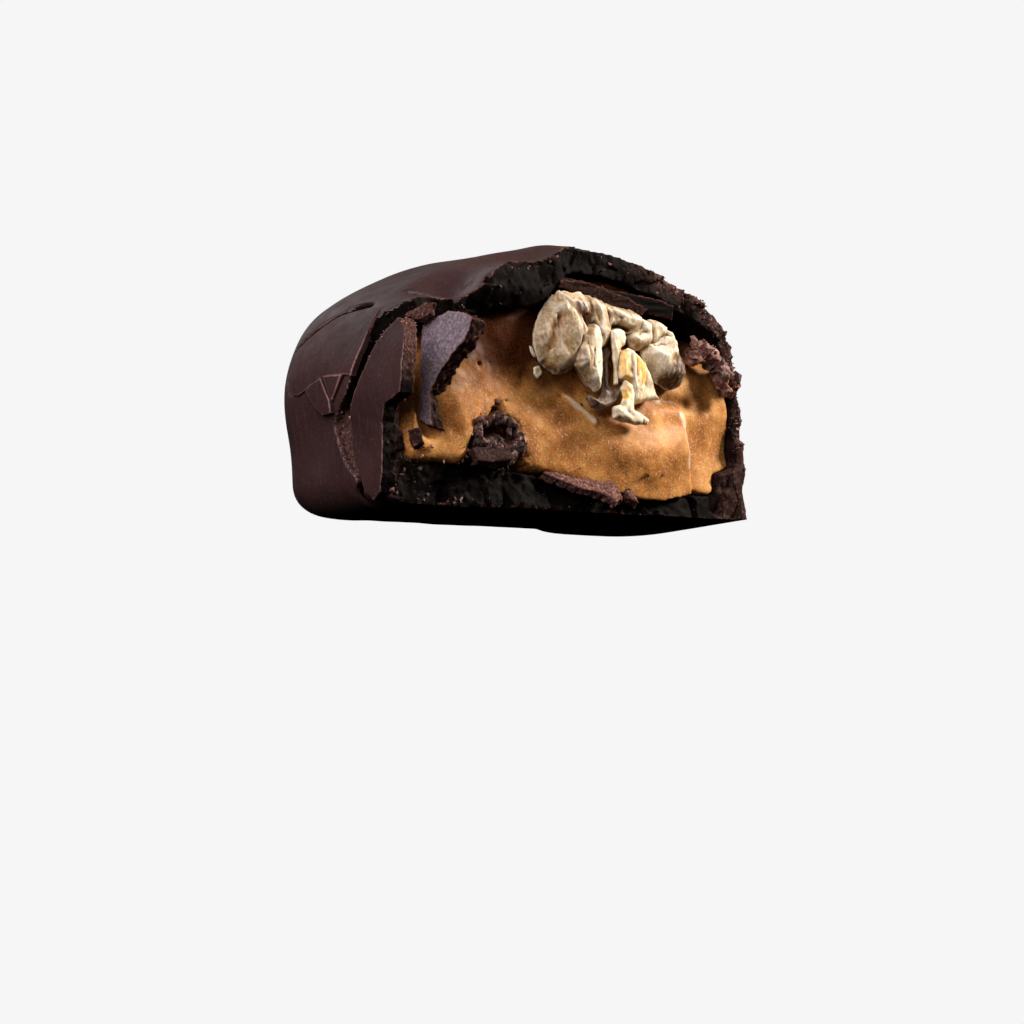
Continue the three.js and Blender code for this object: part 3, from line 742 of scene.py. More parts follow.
def wall_plate_piece(name, outline, proud, slope):
    """A thin plate that follows the wall; it stands proud by an amount that rises towards its foot."""
    step = 0.085
    sunk = 0.5  # how deep it goes into the wall
    points = np.array(outline)
    low_z, high_z = points[:, 1].min(), points[:, 1].max()

    def lift(y, z):
        return proud + slope * (high_z - z) / (high_z - low_z) + 0.03 * noise(y, 0, z, 2.5, 27)

    def form(x, y, z):
        away = outline_distance(*np.broadcast_arrays(y[0], z[0]), outline)[None]
        outer = outer_form(x, y, z)
        return smooth_max(away, np.maximum(outer - lift(y, z), -sunk - outer), 0.05)

    corners, faces = on_grid(form, (-22.0, points[:, 0].min() - 0.3, low_z - 0.3),
                             (-16.0, points[:, 0].max() + 0.3, high_z + 0.3), step,
                             lambda x, y, z: 0.008 * noise(x, y, z, 0.45, 28), band=0.2)
    ridge, _ = ridges(corners, faces, step)
    x, y, z = corners.T
    marks = {"broken": 0.0 * x, "ridge": 1.25 * ridge, "frost": 0.0 * x}
    make_piece(name, corners, faces, [moulded], [], marks)


# ---- caramel ---------------------------------------------------------------------------------


# Ridges and furrows of the caramel's face, along x and z: points, height towards the front, width.
FOLDS = [
    ([(-0.4, 9.3), (0.6, 8.4), (1.8, 7.4)], 0.40, 0.45),
    ([(-4.6, 10.9), (-2.5, 10.4), (0.6, 9.9)], -0.60, 0.70),
    ([(-17.2, 12.5), (-16.7, 9.0), (-16.3, 7.0), (-15.9, 6.0)], -1.10, 0.75),
    ([(-0.5, 18.6), (4.0, 18.3), (8.0, 17.4), (11.0, 16.4)], -2.50, 0.90),
    ([(-13.4, 8.0), (-12.6, 6.0)], 0.30, 1.00),
    ([(-9.5, 14.5), (-7.5, 11.0)], -0.45, 1.80),
    ([(3.0, 5.5), (9.0, 4.6), (11.8, 5.4)], 0.35, 1.60),
    ([(8.6, 8.4), (11.5, 8.6), (14.0, 8.2)], 0.22, 0.80),
    ([(10.0, 9.6), (13.5, 9.4)], -0.30, 0.45),
    ([(9.8, 11.8), (9.9, 11.7)], 0.20, 0.15),
    ([(-9.8, 11.7), (-9.7, 11.7)], -0.50, 0.22),
    ([(-0.9, 9.5), (-0.7, 9.5)], -0.45, 0.20),
]
LOBE_EDGE, LOBE_STEP = 13.3, 0.8  # where the right lobe ends in a step, and how high that is
WET_AND_HIGHLIGHT = [  # shine of wet caramel and a painted pale highlight, along x and z: points, amount, width
    ([(-0.4, 9.3), (0.6, 8.4), (1.8, 7.4)], 1.0, 0.45),
    ([(12.6, 8.4), (13.1, 6.8), (13.1, 4.4)], 1.3, 0.50),
    ([(9.4, 9.6), (10.2, 9.4)], 0.9, 0.35),
]
NOTCH = [(-12.6, 3.2), (-12.0, 5.2), (-10.9, 6.4), (-9.1, 7.4), (-7.9, 8.5), (-6.6, 7.4), (-5.8, 6.4),
         (-5.7, 4.9), (-5.4, 3.2), (-7.0, 2.4), (-11.0, 2.4)]
NOTCH_BACK = -4.8


def caramel_form(x, y, z):
    """The caramel in its room, cut to its face with its folds, step and notch."""
    flat_x, flat_z = np.broadcast_arrays(x[:, 0, :], z[:, 0, :])
    edge = LOBE_EDGE - 0.12 * (flat_z - 5)
    step = LOBE_STEP * smoothstep(flat_x, edge - 0.5, edge + 0.4) * bump(flat_z, 5.0, 4.0)
    face = caramel_face(flat_x, flat_z) - strokes(flat_x, flat_z, FOLDS) + step
    edge_round = lerp(1.0, 0.35, smoothstep(flat_x, 13.0, 16.0))[:, None, :]
    body = smooth_max(room_form(x, y, z) + 0.1, 0.8 * (face[:, None, :] - y), edge_round)
    notch = outline_distance(flat_x, flat_z, NOTCH) + 0.5 * chips(flat_x, 0, flat_z, 1.2, 37)
    notch = np.maximum(notch[:, None, :], y - NOTCH_BACK)
    return smooth_max(np.maximum(body, y - HOLLOW_END - 1.0), -notch, 0.5)


def caramel_relief(x, y, z):
    """Soft lumps of three sizes."""
    folds = 0.12 * noise(x, y, z, 2.8, 31) + 0.06 * noise(x, y, z, 1.1, 32)
    return folds + 0.030 * noise(x, y, z, 0.5, 33)


def caramel_piece():
    """The caramel, with dark brown painted shade under the roof, round the nuts, beside the shard and in
    the notch, over a little real toasting, and a pale painted highlight where it is wet.
    """
    corners, faces = on_grid(caramel_form, (-20.0, -9.6, 0.6), (19.8, 2.2, 20.6), CARAMEL_STEP,
                             caramel_relief, band=0.6, far=0.4, grow_after=-4.0)
    x, y, z = corners.T
    ridge, normals = ridges(corners, faces, CARAMEL_STEP)
    patches = 0.5 + 0.5 * layered(x, y, z, 2.4, 36)
    # Painted shade: darker under the roof, under and round the nuts, beside the shard and in the notch,
    # where shade falls; the chance patches add a little real toasting.
    shade_under_nuts = bump(x, -1.5, 4.0) * bump(z, 10.0, 1.5)
    above = 0.97 * smoothstep(z, 11.0, 15.0) + 0.95 * bump(x, -7.0, 4.5) * smoothstep(z, 8.5, 12.5)
    shade_round_nuts = 0.55 * bump(z, 9.8, 1.6) * smoothstep(x, 4.0, 8.0) * smoothstep(patches, 0.4, 0.9)
    shade_beside_shard = 0.5 * bump(x, -14.0, 3.5) * smoothstep(z, 4.5, 8.0)
    toast_and_shade = clamp(above + 0.6 * shade_under_nuts * patches + shade_round_nuts + 0.35 * patches - 0.12)
    toast_and_shade = clamp(toast_and_shade + shade_beside_shard)
    # Partly real shine, which raises the coat, and partly a painted pale highlight.
    wet_and_highlight = smoothstep(strokes(x, z, WET_AND_HIGHLIGHT) + 0.4 * noise(x, y, z, 0.6, 38), 0.45, 1.0)
    in_notch = smoothstep(-outline_distance(x, z, NOTCH), -0.2, 0.5)
    toast_and_shade = np.maximum(toast_and_shade, 0.85 * in_notch)
    hosts["caramel"] = corners, normals
    make_piece("caramel_filling", corners, faces, [caramel], ["filling"],
               {"toast_and_shade": toast_and_shade, "ridge": ridge, "wet_and_highlight": wet_and_highlight})


# ---- plates ----------------------------------------------------------------------------------


def facing(at, compass, tilt):
    """Right, up and out of a face that looks along a compass and tilt angle, and where it is."""
    a, e = np.radians(compass), np.radians(tilt)
    out = np.array([np.sin(a) * np.cos(e), -np.cos(a) * np.cos(e), np.sin(e)])
    right = np.array([np.cos(a), np.sin(a), 0.0])
    return right, np.cross(out, right), out, np.array(at)


# Each plate has its outline to the right and up from the middle of its front, how thick it is, where
# its middle lies and which way it looks. Frost greys its front and dust pales the rest; grain is the
# height of the lines along its faces and ragged that of the crumbs on its rim.
PLATES = {
    "large_shard": dict(
        outline=[(-1.64, 4.2), (-0.2, 4.5), (0.9, 4.8), (1.7, 4.7), (2.7, 4.4), (3.4, 4.0), (3.0, 2.9),
                 (2.6, 2.2), (1.5, 1.35), (0.45, 0.2), (-0.2, -0.6), (-0.8, -1.7), (-0.7, -3.3),
                 (-0.65, -4.4), (-1.2, -4.3), (-1.9, -3.8), (-1.95, -1.0), (-1.85, 1.9)],
        thick=1.6, at=(-15.8, -7.9, 10.6), compass=-80, tilt=6, frost=1.0, slot="chocolate"),
    "shard_chip": dict(
        outline=[(-1.3, -0.4), (0.4, 0.5), (1.3, 0.4), (1.0, -0.5), (0.0, -0.9)],
        thick=0.7, at=(-16.7, -7.0, 15.7), compass=-60, tilt=10, dust=0.5),
    "top_splinter": dict(
        outline=[(-4.9, 1.0), (-3.0, 1.0), (-0.5, 0.7), (2.8, -0.1), (5.4, -0.9),
                 (4.7, -1.4), (1.1, -0.9), (-2.4, -0.2), (-4.8, 0.4)],
        thick=2.2, at=(3.2, -7.9, 17.9), compass=0, tilt=-20, grain=0.06, dust=0.18),
    "roof_slab": dict(
        outline=[(-4.5, 0.6), (1.1, 0.2), (4.5, -0.4), (4.4, -1.6), (1.2, -1.2), (-4.5, -0.1)],
        thick=3.2, at=(8.3, -6.5, 18.2), compass=0, tilt=-10, grain=0.05, dust=0.0),
    "base_shard": dict(
        outline=[(-4.0, 1.0), (-1.2, 1.1), (2.2, 0.8), (3.8, 0.0), (3.7, -1.5),
                 (2.6, -2.0), (1.9, -1.1), (-0.5, -0.7), (-2.4, 0.1)],
        thick=0.8, at=(0.3, -7.2, 2.3), compass=0, tilt=35, ragged=0.10, grain=0.04, dust=0.85),
    "base_chip": dict(
        outline=[(-0.9, 0.6), (0.2, 0.3), (0.4, -0.9), (-0.7, -0.6)],
        thick=0.8, at=(6.2, -7.0, 1.7), compass=10, tilt=20, dust=0.7),
    "pile_slab": dict(
        outline=[(-2.0, 0.5), (0.3, 0.7), (2.4, 0.8), (2.3, -0.4), (0.0, -0.7), (-1.7, -0.7)],
        thick=0.9, at=(-10.5, -8.0, 4.1), compass=0, tilt=12, grain=0.05, dust=0.2),
    "caramel_chip": dict(
        outline=[(-0.6, 0.6), (0.4, 0.8), (0.7, -0.5), (-0.2, -0.9)],
        thick=0.6, at=(-18.0, -7.2, 5.3), compass=-40, tilt=20),
}


def plate_piece(name, outline, thick, at, compass, tilt, frost=0.0, slot="broken_chocolate",
                ragged=0.16, grain=0.0, dust=0.15):
    """A broken plate: a smooth or grained front face and a ragged, crumbly rim and back."""
    step = 0.09
    right, up, out, origin = facing(at, compass, tilt)

    def form(u, w, v):
        slanted = np.broadcast_arrays(u + 0.12 * w, v - 0.1 * w)
        away = outline_distance(*slanted, outline) + 0.10 * chips(u, w, v, 0.7, 40)
        return smooth_max(away, np.maximum(w, -thick - w), 0.10)

    def rough(u, w, v):
        rim = 0.12 + 0.88 * smoothstep(-w, 0.08, 0.35)
        crumbs = chips(u, w, v, 0.75, 41) + 0.5 * noise(u, w, v, 0.4, 42)
        lines = noise(u * 0.12, w, v, 0.28, 43) + noise(u * 0.2, w, v, 0.7, 44)
        return ragged * rim * crumbs + grain * lines

    points = np.array(outline)
    low = (points[:, 0].min() - 0.5, -thick - 0.9, points[:, 1].min() - 0.5)
    high = (points[:, 0].max() + 0.5, 0.5, points[:, 1].max() + 0.5)
    corners, faces = on_grid(form, low, high, step, rough, band=0.4)
    u, w, v = corners.T
    ridge, normals = ridges(corners, faces, step)
    broken, dusty, materials = np.ones(len(u)), np.full(len(u), dust), [fractured]
    if frost:
        front = smoothstep(w, -0.22, -0.08) * smoothstep(normals[:, 1], 0.5, 0.8)
        broken, dusty, materials = 1 - front, frost * front + dust * (1 - front), [moulded, fractured]
        ridge = ridge * 1.6
    turned = np.stack([right, out, up])
    corners = origin + corners @ turned
    hosts[name] = corners, normals @ turned
    marks = {"broken": broken, "ridge": ridge, "frost": dusty}
    make_piece(name + "_broken", corners, faces[:, ::-1], materials, [name], marks)


# The plate that split from the left wall, as places along y and z.
STRIP = [(-7.6, 14.8), (-8.9, 13.6), (-9.4, 12.2), (-9.2, 9.4), (-8.9, 8.5), (-7.2, 7.8),
         (-6.6, 6.4), (-6.2, 2.4), (-5.6, 0.9), (-4.6, 0.3), (-3.8, 1.3), (-3.3, 3.2),
         (-2.8, 4.9), (-3.1, 8.0), (-3.7, 9.0), (-5.2, 11.2), (-6.0, 12.7), (-6.7, 13.9)]
STRIP_THICK = 1.5
STRIP_STAND_OFF = 0.25


def strip_face(y, z):
    """The strip's outer face: the left wall's curve, stood off and leaning in at its top."""
    lean = 0.9 * smoothstep(z, 12, 15.5) + 0.25 * smoothstep(-y, 6, 9.5)
    return -left_reach(z) - STRIP_STAND_OFF + lean


def strip_form(x, y, z):
    """The strip: its outline, between its outer face and its thickness."""
    away = outline_distance(*np.broadcast_arrays(y, z), STRIP) + 0.05 * chips(x, y, z, 0.8, 50)
    face = strip_face(y, z) - x
    return smooth_max(away, np.maximum(face, -face - STRIP_THICK), 0.08)


def strip_relief(x, y, z):
    """Facets on the broken rim and back, and faint waves on the moulded face."""
    rim = smoothstep(x - strip_face(y, z), 0.08, 0.3)
    crumbs = 0.12 * chips(x, y, z, 0.8, 52) + 0.06 * noise(x, y, z, 0.4, 53)
    return 0.02 * noise(x, y, z, 1.5, 51) + rim * crumbs


def strip_piece():
    """The split strip of wall: moulded in front, broken at its rim and back."""
    step = 0.11
    corners, faces = on_grid(strip_form, (-22.2, -10.0, -0.2), (-17.6, -2.2, 15.4), step, strip_relief,
                             band=0.4)
    corners[:, 2] = np.maximum(corners[:, 2], 0.0)
    x, y, z = corners.T
    ridge, normals = ridges(corners, faces, step)
    front = (1 - smoothstep(x - strip_face(y, z), 0.06, 0.2)) * smoothstep(-normals[:, 0], 0.4, 0.7)
    dusty = 0.5 * (1 - front) * smoothstep(z, 8.5, 12.0)
    marks = {"broken": 1 - front, "ridge": ridge, "frost": dusty}
    hosts["strip"] = corners, normals
    make_piece("split_wall_strip", corners, faces, [moulded, fractured], ["wall_strip"],
               marks)


# ---- hazelnuts -------------------------------------------------------------------------------

# Each nut is made of pillows: an outline along x and z, where its front and back lie, how much its rim
# falls back and over what width, how its front slopes, and the ridges and furrows on it. Yellow toast,
# brown painted shade and pale flesh with painted highlights are painted along lines in the same way:
# points, amount, width. Tint is painted shade that browns the whole nut, grain is the slope of its
# fibres from upright in degrees, and facet the height of its facets.
NUTS = {
    "nut_left": dict(
        pillows=[dict(
            outline=[(-1.7, 18.0), (-2.7, 17.5), (-3.7, 16.4), (-4.4, 15.5), (-4.8, 14.4), (-4.85, 13.4),
                     (-4.65, 12.6), (-4.2, 11.9), (-3.4, 11.3), (-2.4, 11.0), (-1.5, 11.2), (-1.0, 11.7),
                     (-0.7, 12.4), (-0.3, 13.3), (0.1, 14.2), (0.2, 15.0), (0.0, 15.9), (-0.5, 16.9)],
            front=-8.9, back=-5.8, fall=1.3, over=1.5, turn=-0.32,
            lines=[([(-2.5, 15.6), (-2.95, 14.6), (-3.3, 13.5), (-3.45, 12.6), (-3.4, 11.7)], -0.42, 0.60),
                   ([(-1.2, 14.8), (-0.9, 13.4), (-1.1, 12.2)], 0.25, 0.70),
                   ([(-2.2, 17.2), (-2.9, 15.9)], 0.15, 0.50)])],
        tint=0.50, grain=20,
        brown=[([(-0.9, 16.8), (-0.3, 15.9), (0.4, 14.9)], 0.8, 0.40),
               ([(-2.5, 15.6), (-3.3, 13.5)], 0.25, 0.35),
               ([(-0.6, 14.0), (-0.5, 12.4)], 0.40, 0.60),
               ([(-3.9, 11.9), (-2.4, 11.1), (-1.0, 11.5)], 0.45, 0.35),
               ([(-4.7, 13.9), (-4.3, 12.2)], 0.2, 0.4)]),
    "nut_middle": dict(
        pillows=[dict(
            outline=[(-2.3, 17.9), (-0.6, 17.8), (1.9, 17.5), (3.6, 17.1), (5.5, 16.7), (6.9, 16.3),
                     (6.8, 15.4), (6.0, 14.8), (5.3, 14.6), (4.5, 14.8), (3.5, 14.9), (3.1, 14.2),
                     (2.4, 13.4), (1.4, 12.9), (-0.2, 12.6), (-1.4, 13.6), (-2.0, 15.2), (-2.3, 16.6)],
            front=-9.0, back=-5.8, fall=0.7, over=0.9,
            lines=[([(0.1, 15.7), (0.7, 15.0), (1.3, 14.2)], -0.55, 0.40),
                   ([(3.3, 15.2), (4.3, 15.3), (5.3, 15.0)], -0.90, 0.14),
                   ([(1.3, 17.2), (1.9, 16.0), (1.8, 14.6)], 0.18, 0.35),
                   ([(2.5, 17.0), (2.9, 16.0), (2.8, 15.0)], -0.14, 0.16),
                   ([(3.6, 16.7), (4.6, 16.1), (6.2, 15.9)], 0.12, 0.30),
                   ([(0.4, 17.3), (0.7, 16.2), (0.4, 15.6)], -0.16, 0.30)])],
        tint=0.36, grain=10, facet=0.12,
        pale_and_highlight=[([(1.8, 17.0), (2.0, 15.8), (2.0, 14.4)], 0.8, 0.45),
              ([(3.9, 16.3), (6.2, 15.9)], 0.8, 0.40),
              ([(0.0, 17.4), (0.2, 16.8)], 0.6, 0.35)],
        brown=[([(-0.5, 16.6), (0.3, 15.6), (1.2, 14.4)], 1.2, 0.55),
               ([(3.3, 15.15), (5.3, 15.0)], 0.95, 0.20),
               ([(0.6, 17.0), (0.7, 16.2), (0.0, 15.9)], 0.6, 0.4),
               ([(1.5, 17.4), (6.0, 16.6)], 0.35, 0.3)]),
    "nut_spike": dict(
        pillows=[dict(
            outline=[(1.2, 15.5), (0.3, 14.9), (-0.4, 14.2), (-0.9, 13.2), (-1.2, 12.2), (-1.1, 11.7),
                     (-0.5, 11.0), (0.2, 10.2), (0.9, 9.65), (1.45, 9.7), (1.7, 10.2), (1.85, 11.2),
                     (2.0, 12.3), (2.25, 13.2), (2.6, 14.1), (2.6, 15.0), (2.0, 15.6)],
            front=-9.3, back=-6.6, fall=0.8, over=0.7, turn=0.42,
            lines=[([(0.6, 14.2), (0.1, 12.6), (0.6, 10.8)], 0.18, 0.35),
                   ([(-0.4, 13.4), (-0.5, 12.2), (0.1, 11.0)], -0.10, 0.14),
                   ([(1.35, 13.8), (1.2, 11.6), (1.3, 10.4)], -0.05, 0.14),
                   ([(0.2, 12.9), (0.1, 11.6)], -0.16, 0.16),
                   ([(1.75, 13.0), (1.6, 11.0)], 0.10, 0.12)]),
            dict(
                outline=[(2.9, 14.8), (3.6, 15.05), (4.6, 14.95), (5.0, 14.3), (4.4, 13.6), (3.8, 13.1),
                         (3.4, 12.3), (3.25, 10.4), (3.0, 10.3), (3.1, 12.0), (3.0, 13.4)],
                front=-9.05, back=-7.9, fall=0.25, over=0.30, turn=0.2)],
        grain=8,
        pale_and_highlight=[([(1.6, 14.4), (1.2, 12.6), (1.1, 10.2)], 1.3, 0.70), ([(3.4, 14.5), (4.3, 14.4)], 0.9, 0.5)],
        brown=[([(-0.9, 12.9), (-1.1, 11.8), (0.1, 10.2)], 0.7, 0.28),
               ([(3.3, 13.0), (3.1, 11.4)], 0.7, 0.10), ([(1.2, 15.4), (0.0, 14.4)], 0.7, 0.35),
               ([(-0.2, 13.8), (-0.3, 11.6)], 0.35, 0.50)]),
    "nut_bridge": dict(
        pillows=[dict(
            outline=[(5.5, 14.6), (6.6, 15.4), (6.9, 16.2), (8.1, 16.2), (8.6, 16.3), (10.6, 15.8),
                     (10.3, 14.9), (9.1, 14.1), (8.3, 13.7), (7.5, 13.5), (6.7, 13.3), (5.9, 13.7)],
            front=-8.7, back=-6.2, fall=0.9, over=0.8, turn=0.12,
            lines=[([(8.15, 16.3), (8.2, 15.3), (8.0, 14.0)], -0.50, 0.18),
                   ([(5.9, 14.9), (7.2, 14.9)], -0.20, 0.22),
                   ([(9.0, 15.8), (9.6, 14.9)], 0.15, 0.30)])],
        grain=-20,
        pale_and_highlight=[([(7.4, 15.8), (7.2, 14.8)], 0.8, 0.50), ([(9.3, 15.6), (9.8, 15.3)], 0.6, 0.40)],
        brown=[([(5.7, 14.1), (6.5, 13.6), (7.5, 13.6)], 0.8, 0.45),
               ([(7.9, 13.8), (8.8, 14.3), (9.8, 14.9)], 1.0, 0.28),
               ([(8.2, 16.3), (8.2, 15.2)], 0.5, 0.20)]),
    "nut_yellow": dict(
        pillows=[dict(
            outline=[(3.9, 13.1), (4.7, 13.4), (6.2, 12.95), (7.2, 12.3), (7.75, 11.3), (8.3, 10.1),
                     (9.0, 9.4), (7.4, 9.2), (5.9, 8.9), (5.1, 8.9), (5.0, 9.9), (4.5, 10.6),
                     (3.5, 10.8), (3.45, 11.7), (3.6, 12.6)],
            front=-9.1, back=-7.0, fall=0.5, over=0.45, turn=0.22,
            lines=[([(4.9, 13.2), (4.9, 11.4), (5.1, 10.2)], 0.16, 0.20),
                   ([(5.4, 11.2), (5.6, 12.6)], -0.10, 0.16)])],
        grain=-12, facet=0.07,
        pale_and_highlight=[([(4.9, 13.2), (4.95, 11.4), (5.1, 9.6)], 1.0, 0.35), ([(6.4, 10.0), (7.6, 9.7)], 0.6, 0.50)],
        yellow=[([(3.9, 12.8), (3.8, 11.9), (3.8, 11.2)], 1.0, 0.45),
                ([(5.9, 12.5), (6.0, 11.9), (6.1, 11.3)], 1.4, 0.60),
                ([(3.9, 10.9), (4.6, 10.6)], 0.5, 0.3)],
        brown=[([(8.6, 9.5), (6.6, 9.0)], 0.30, 0.3)]),
    "nut_right": dict(
        pillows=[dict(
            outline=[(7.6, 14.1), (8.7, 14.5), (9.4, 15.0), (10.3, 15.6), (11.2, 14.9), (11.6, 13.8),
                     (12.4, 12.6), (12.5, 11.5), (11.8, 10.6), (10.8, 10.3), (9.7, 10.5), (8.7, 10.9),
                     (8.1, 11.6), (7.5, 12.5), (7.3, 13.3)],
            front=-9.2, back=-6.0, fall=1.5, over=1.7, turn=0.10,
            lines=[([(10.4, 15.0), (10.2, 13.6)], 0.18, 0.50),
                   ([(9.6, 15.2), (10.6, 14.4)], -0.20, 0.16),
                   ([(8.2, 13.9), (9.2, 14.0)], -0.16, 0.18),
                   ([(9.3, 13.6), (9.0, 12.2), (9.4, 11.2)], 0.12, 0.40)])],
        grain=-25,
        pale_and_highlight=[([(8.5, 13.8), (9.6, 14.8)], 0.9, 0.90), ([(8.5, 12.8), (8.9, 11.6)], 0.6, 0.60)],
        # Painted shadow: the cluster at the right shades this nut's lower right.
        brown=[([(11.7, 13.1), (10.7, 11.8), (10.0, 10.7)], 1.6, 1.30),
               ([(9.9, 11.4), (9.2, 10.8)], 0.6, 0.7),
               ([(7.6, 13.0), (8.0, 11.8)], 0.4, 0.3)]),
    "nut_sliver": dict(
        pillows=[dict(
            outline=[(3.9, 10.7), (4.9, 10.5), (5.2, 9.5), (4.9, 8.3), (6.0, 8.05), (7.0, 7.5), (6.5, 7.05),
                     (5.0, 7.0), (3.5, 7.2), (2.4, 7.5), (2.4, 8.4), (3.3, 8.6), (3.7, 9.2), (3.5, 9.9)],
            front=-9.4, back=-8.2, fall=0.4, over=0.5, turn=0.15,
            lines=[([(5.9, 7.9), (5.95, 7.1)], -0.12, 0.10), ([(6.35, 7.6), (6.3, 7.1)], -0.10, 0.08)])],
        grain=60, facet=0.04,
        pale_and_highlight=[([(4.6, 9.8), (4.3, 8.2)], 0.8, 0.45), ([(3.4, 7.9), (6.4, 7.4)], 0.7, 0.30)],
        yellow=[([(4.0, 10.0), (3.8, 9.3)], 1.3, 0.35)],
        brown=[([(2.5, 8.0), (2.9, 7.6)], 0.7, 0.3), ([(5.95, 7.9), (5.95, 7.0)], 0.5, 0.08),
               ([(3.6, 8.2), (5.6, 7.2)], 0.25, 0.25)]),
}
FLAKES_OF_NUT = [  # small white flakes, two beside the left nut and one on the right
    dict(outline=[(-5.0, 13.7), (-4.5, 13.3), (-4.0, 12.3), (-4.5, 12.3), (-4.9, 12.8)],
         front=-7.3, back=-6.8, fall=0.1, over=0.1),
    dict(outline=[(-4.6, 11.6), (-3.9, 11.8), (-3.6, 11.2), (-4.2, 10.5), (-4.6, 11.0)],
         front=-7.3, back=-6.8, fall=0.1, over=0.1),
    dict(outline=[(11.2, 14.6), (11.7, 14.4), (12.0, 13.7), (11.5, 13.8)], over=0.15),
]
NUT_SKIN = dict(  # the curl of brown skin below the spike, made as the nuts are
    outline=[(0.2, 9.3), (0.8, 8.45), (1.7, 8.2), (2.8, 8.5), (3.8, 9.2), (4.6, 10.3), (4.3, 10.6),
             (3.4, 10.0), (3.0, 10.2), (3.1, 13.4), (2.5, 13.4), (2.1, 10.2), (1.9, 9.3), (1.5, 8.9),
             (0.7, 9.4)],
    front=-8.6, back=-7.5, fall=0.35, over=0.30,
    lines=[([(0.6, 9.0), (1.8, 8.6), (3.0, 9.0), (4.2, 10.3)], 0.20, 0.16),
           ([(2.8, 13.2), (2.6, 10.2)], -0.60, 0.30)])
NUT_STEP = 0.095
NUT_FRONT, NUT_BACK = -7.6, -6.6  # where a pillow's front and back lie if it doesn't say
DRAW_IN = 0.8  # how fast a nut grows thinner towards its back


def pillow(x, y, z, outline, front=NUT_FRONT, back=NUT_BACK, fall=0.3, over=0.3, turn=0.0, lines=()):
    """A cushion with an outline along x and z, that draws in on its left behind the rim.

    Its front looks to the right by a slope of turn. Takes grid lines and gives a field."""
    flat_x, flat_z = np.broadcast_arrays(x[:, 0, :], z[:, 0, :])
    flat_x = flat_x + 0.05 * noise(flat_x, 1, flat_z, 0.5, 63)
    flat_z = flat_z + 0.05 * noise(flat_x, 5, flat_z, 0.5, 64)
    away = outline_distance(flat_x, flat_z, outline)
    inward = clamp(-away / over)
    face = front + fall * (1 - inward) ** 2 + turn * (flat_x - np.mean(outline, 0)[0])
    if lines:
        face = face - strokes(flat_x, flat_z, lines)
    behind = np.maximum(y - front - fall, 0)
    drawn_in = np.broadcast_arrays(flat_x[:, None, :] - DRAW_IN * behind, flat_z[:, None, :])
    away = np.maximum(away[:, None, :], outline_distance(*drawn_in, outline)) + 0.15 * behind
    return smooth_max(away, np.maximum(0.9 * (face[:, None, :] - y), y - back), 0.10)


def pillow_piece(name, pillows, slot, nodes, material, yellow=(), brown=(), pale_and_highlight=(), tint=0.0,
                 facet=0.10, grain=0):
    """Pillows as one piece, with its facets and fibres, and with its colours, painted shade and painted
    highlights given as marks.
    """
    a = np.radians(grain)

    def form(x, y, z):
        body = None
        for spec in pillows:
            part = pillow(x, y, z, **spec)
            body = part if body is None else smooth_min(body, part, 0.08)
        return body

    def facets(x, y, z):
        across, along = x * np.cos(a) + z * np.sin(a), z * np.cos(a) - x * np.sin(a)
        flats = facet * (0.6 * chips(x, y, z, 1.5, 61) + noise(x, y, z, 1.6, 65))
        fibres = 0.055 * noise(across, y, along * 0.2, 0.34, 62)
        fibres = fibres + 0.030 * noise(across, y, along * 0.3, 0.2, 67)
        fibres = fibres + 0.05 * noise(across, y, along * 0.25, 0.8, 68)
        return flats + fibres + 0.035 * noise(x, y, z, 0.55, 66)

    points = np.vstack([spec["outline"] for spec in pillows])
    front = min(spec.get("front", NUT_FRONT) for spec in pillows)
    back = max(spec.get("back", NUT_BACK) for spec in pillows)
    low = (points[:, 0].min() - 0.5, front - 0.8, points[:, 1].min() - 0.5)
    high = (points[:, 0].max() + 0.5, back + 0.4, points[:, 1].max() + 0.5)
    corners, faces = on_grid(form, low, high, NUT_STEP, facets, band=0.35)
    x, y, z = corners.T
    fine_ridge = ridges(corners, faces, NUT_STEP)[0]
    broad_ridge = ridges(corners, faces, NUT_STEP, rounds=20)[0]
    none = np.zeros(len(x))
    marks = {
        # The first mark is yellow toasting here; shade is painted shade, and the pale mark pale flesh with
        # painted highlight.
        "toast_and_shade": clamp(strokes(x, z, yellow) + none),
        "shade": clamp(strokes(x, z, brown) + tint + none),
        "pale_and_highlight": clamp(strokes(x, z, pale_and_highlight) + none),
        "ridge": fine_ridge + 0.3 * broad_ridge,
    }
    make_piece(name, corners, faces, [material], nodes, marks)


# ---- crumbs ----------------------------------------------------------------------------------


CRUMB_POINTS = 11
CRUMB_LONG = 1.35  # the longest that a crumb may be, in its own size


def crumb(rng, size, thin):
    """One broken crumb: the hull of a few chance points, so that it has flat facets.

    Its sides are anything from thin to long."""
    points = rng.normal(size=(CRUMB_POINTS, 3))
    points /= np.linalg.norm(points, axis=1)[:, None]
    points *= rng.uniform(0.6, 1.0, (CRUMB_POINTS, 1)) * rng.uniform(thin, CRUMB_LONG, 3) * size
    made = bmesh.new()
    for point in points:
        made.verts.new(point)
    hull = bmesh.ops.convex_hull(made, input=made.verts)
    bmesh.ops.delete(made, geom=list(hull["geom_interior"]), context="VERTS")
    made.verts.index_update()
    corners = np.array([v.co for v in made.verts])
    faces = np.array([[v.index for v in f.verts] for f in made.faces])
    made.free()
    return corners, faces


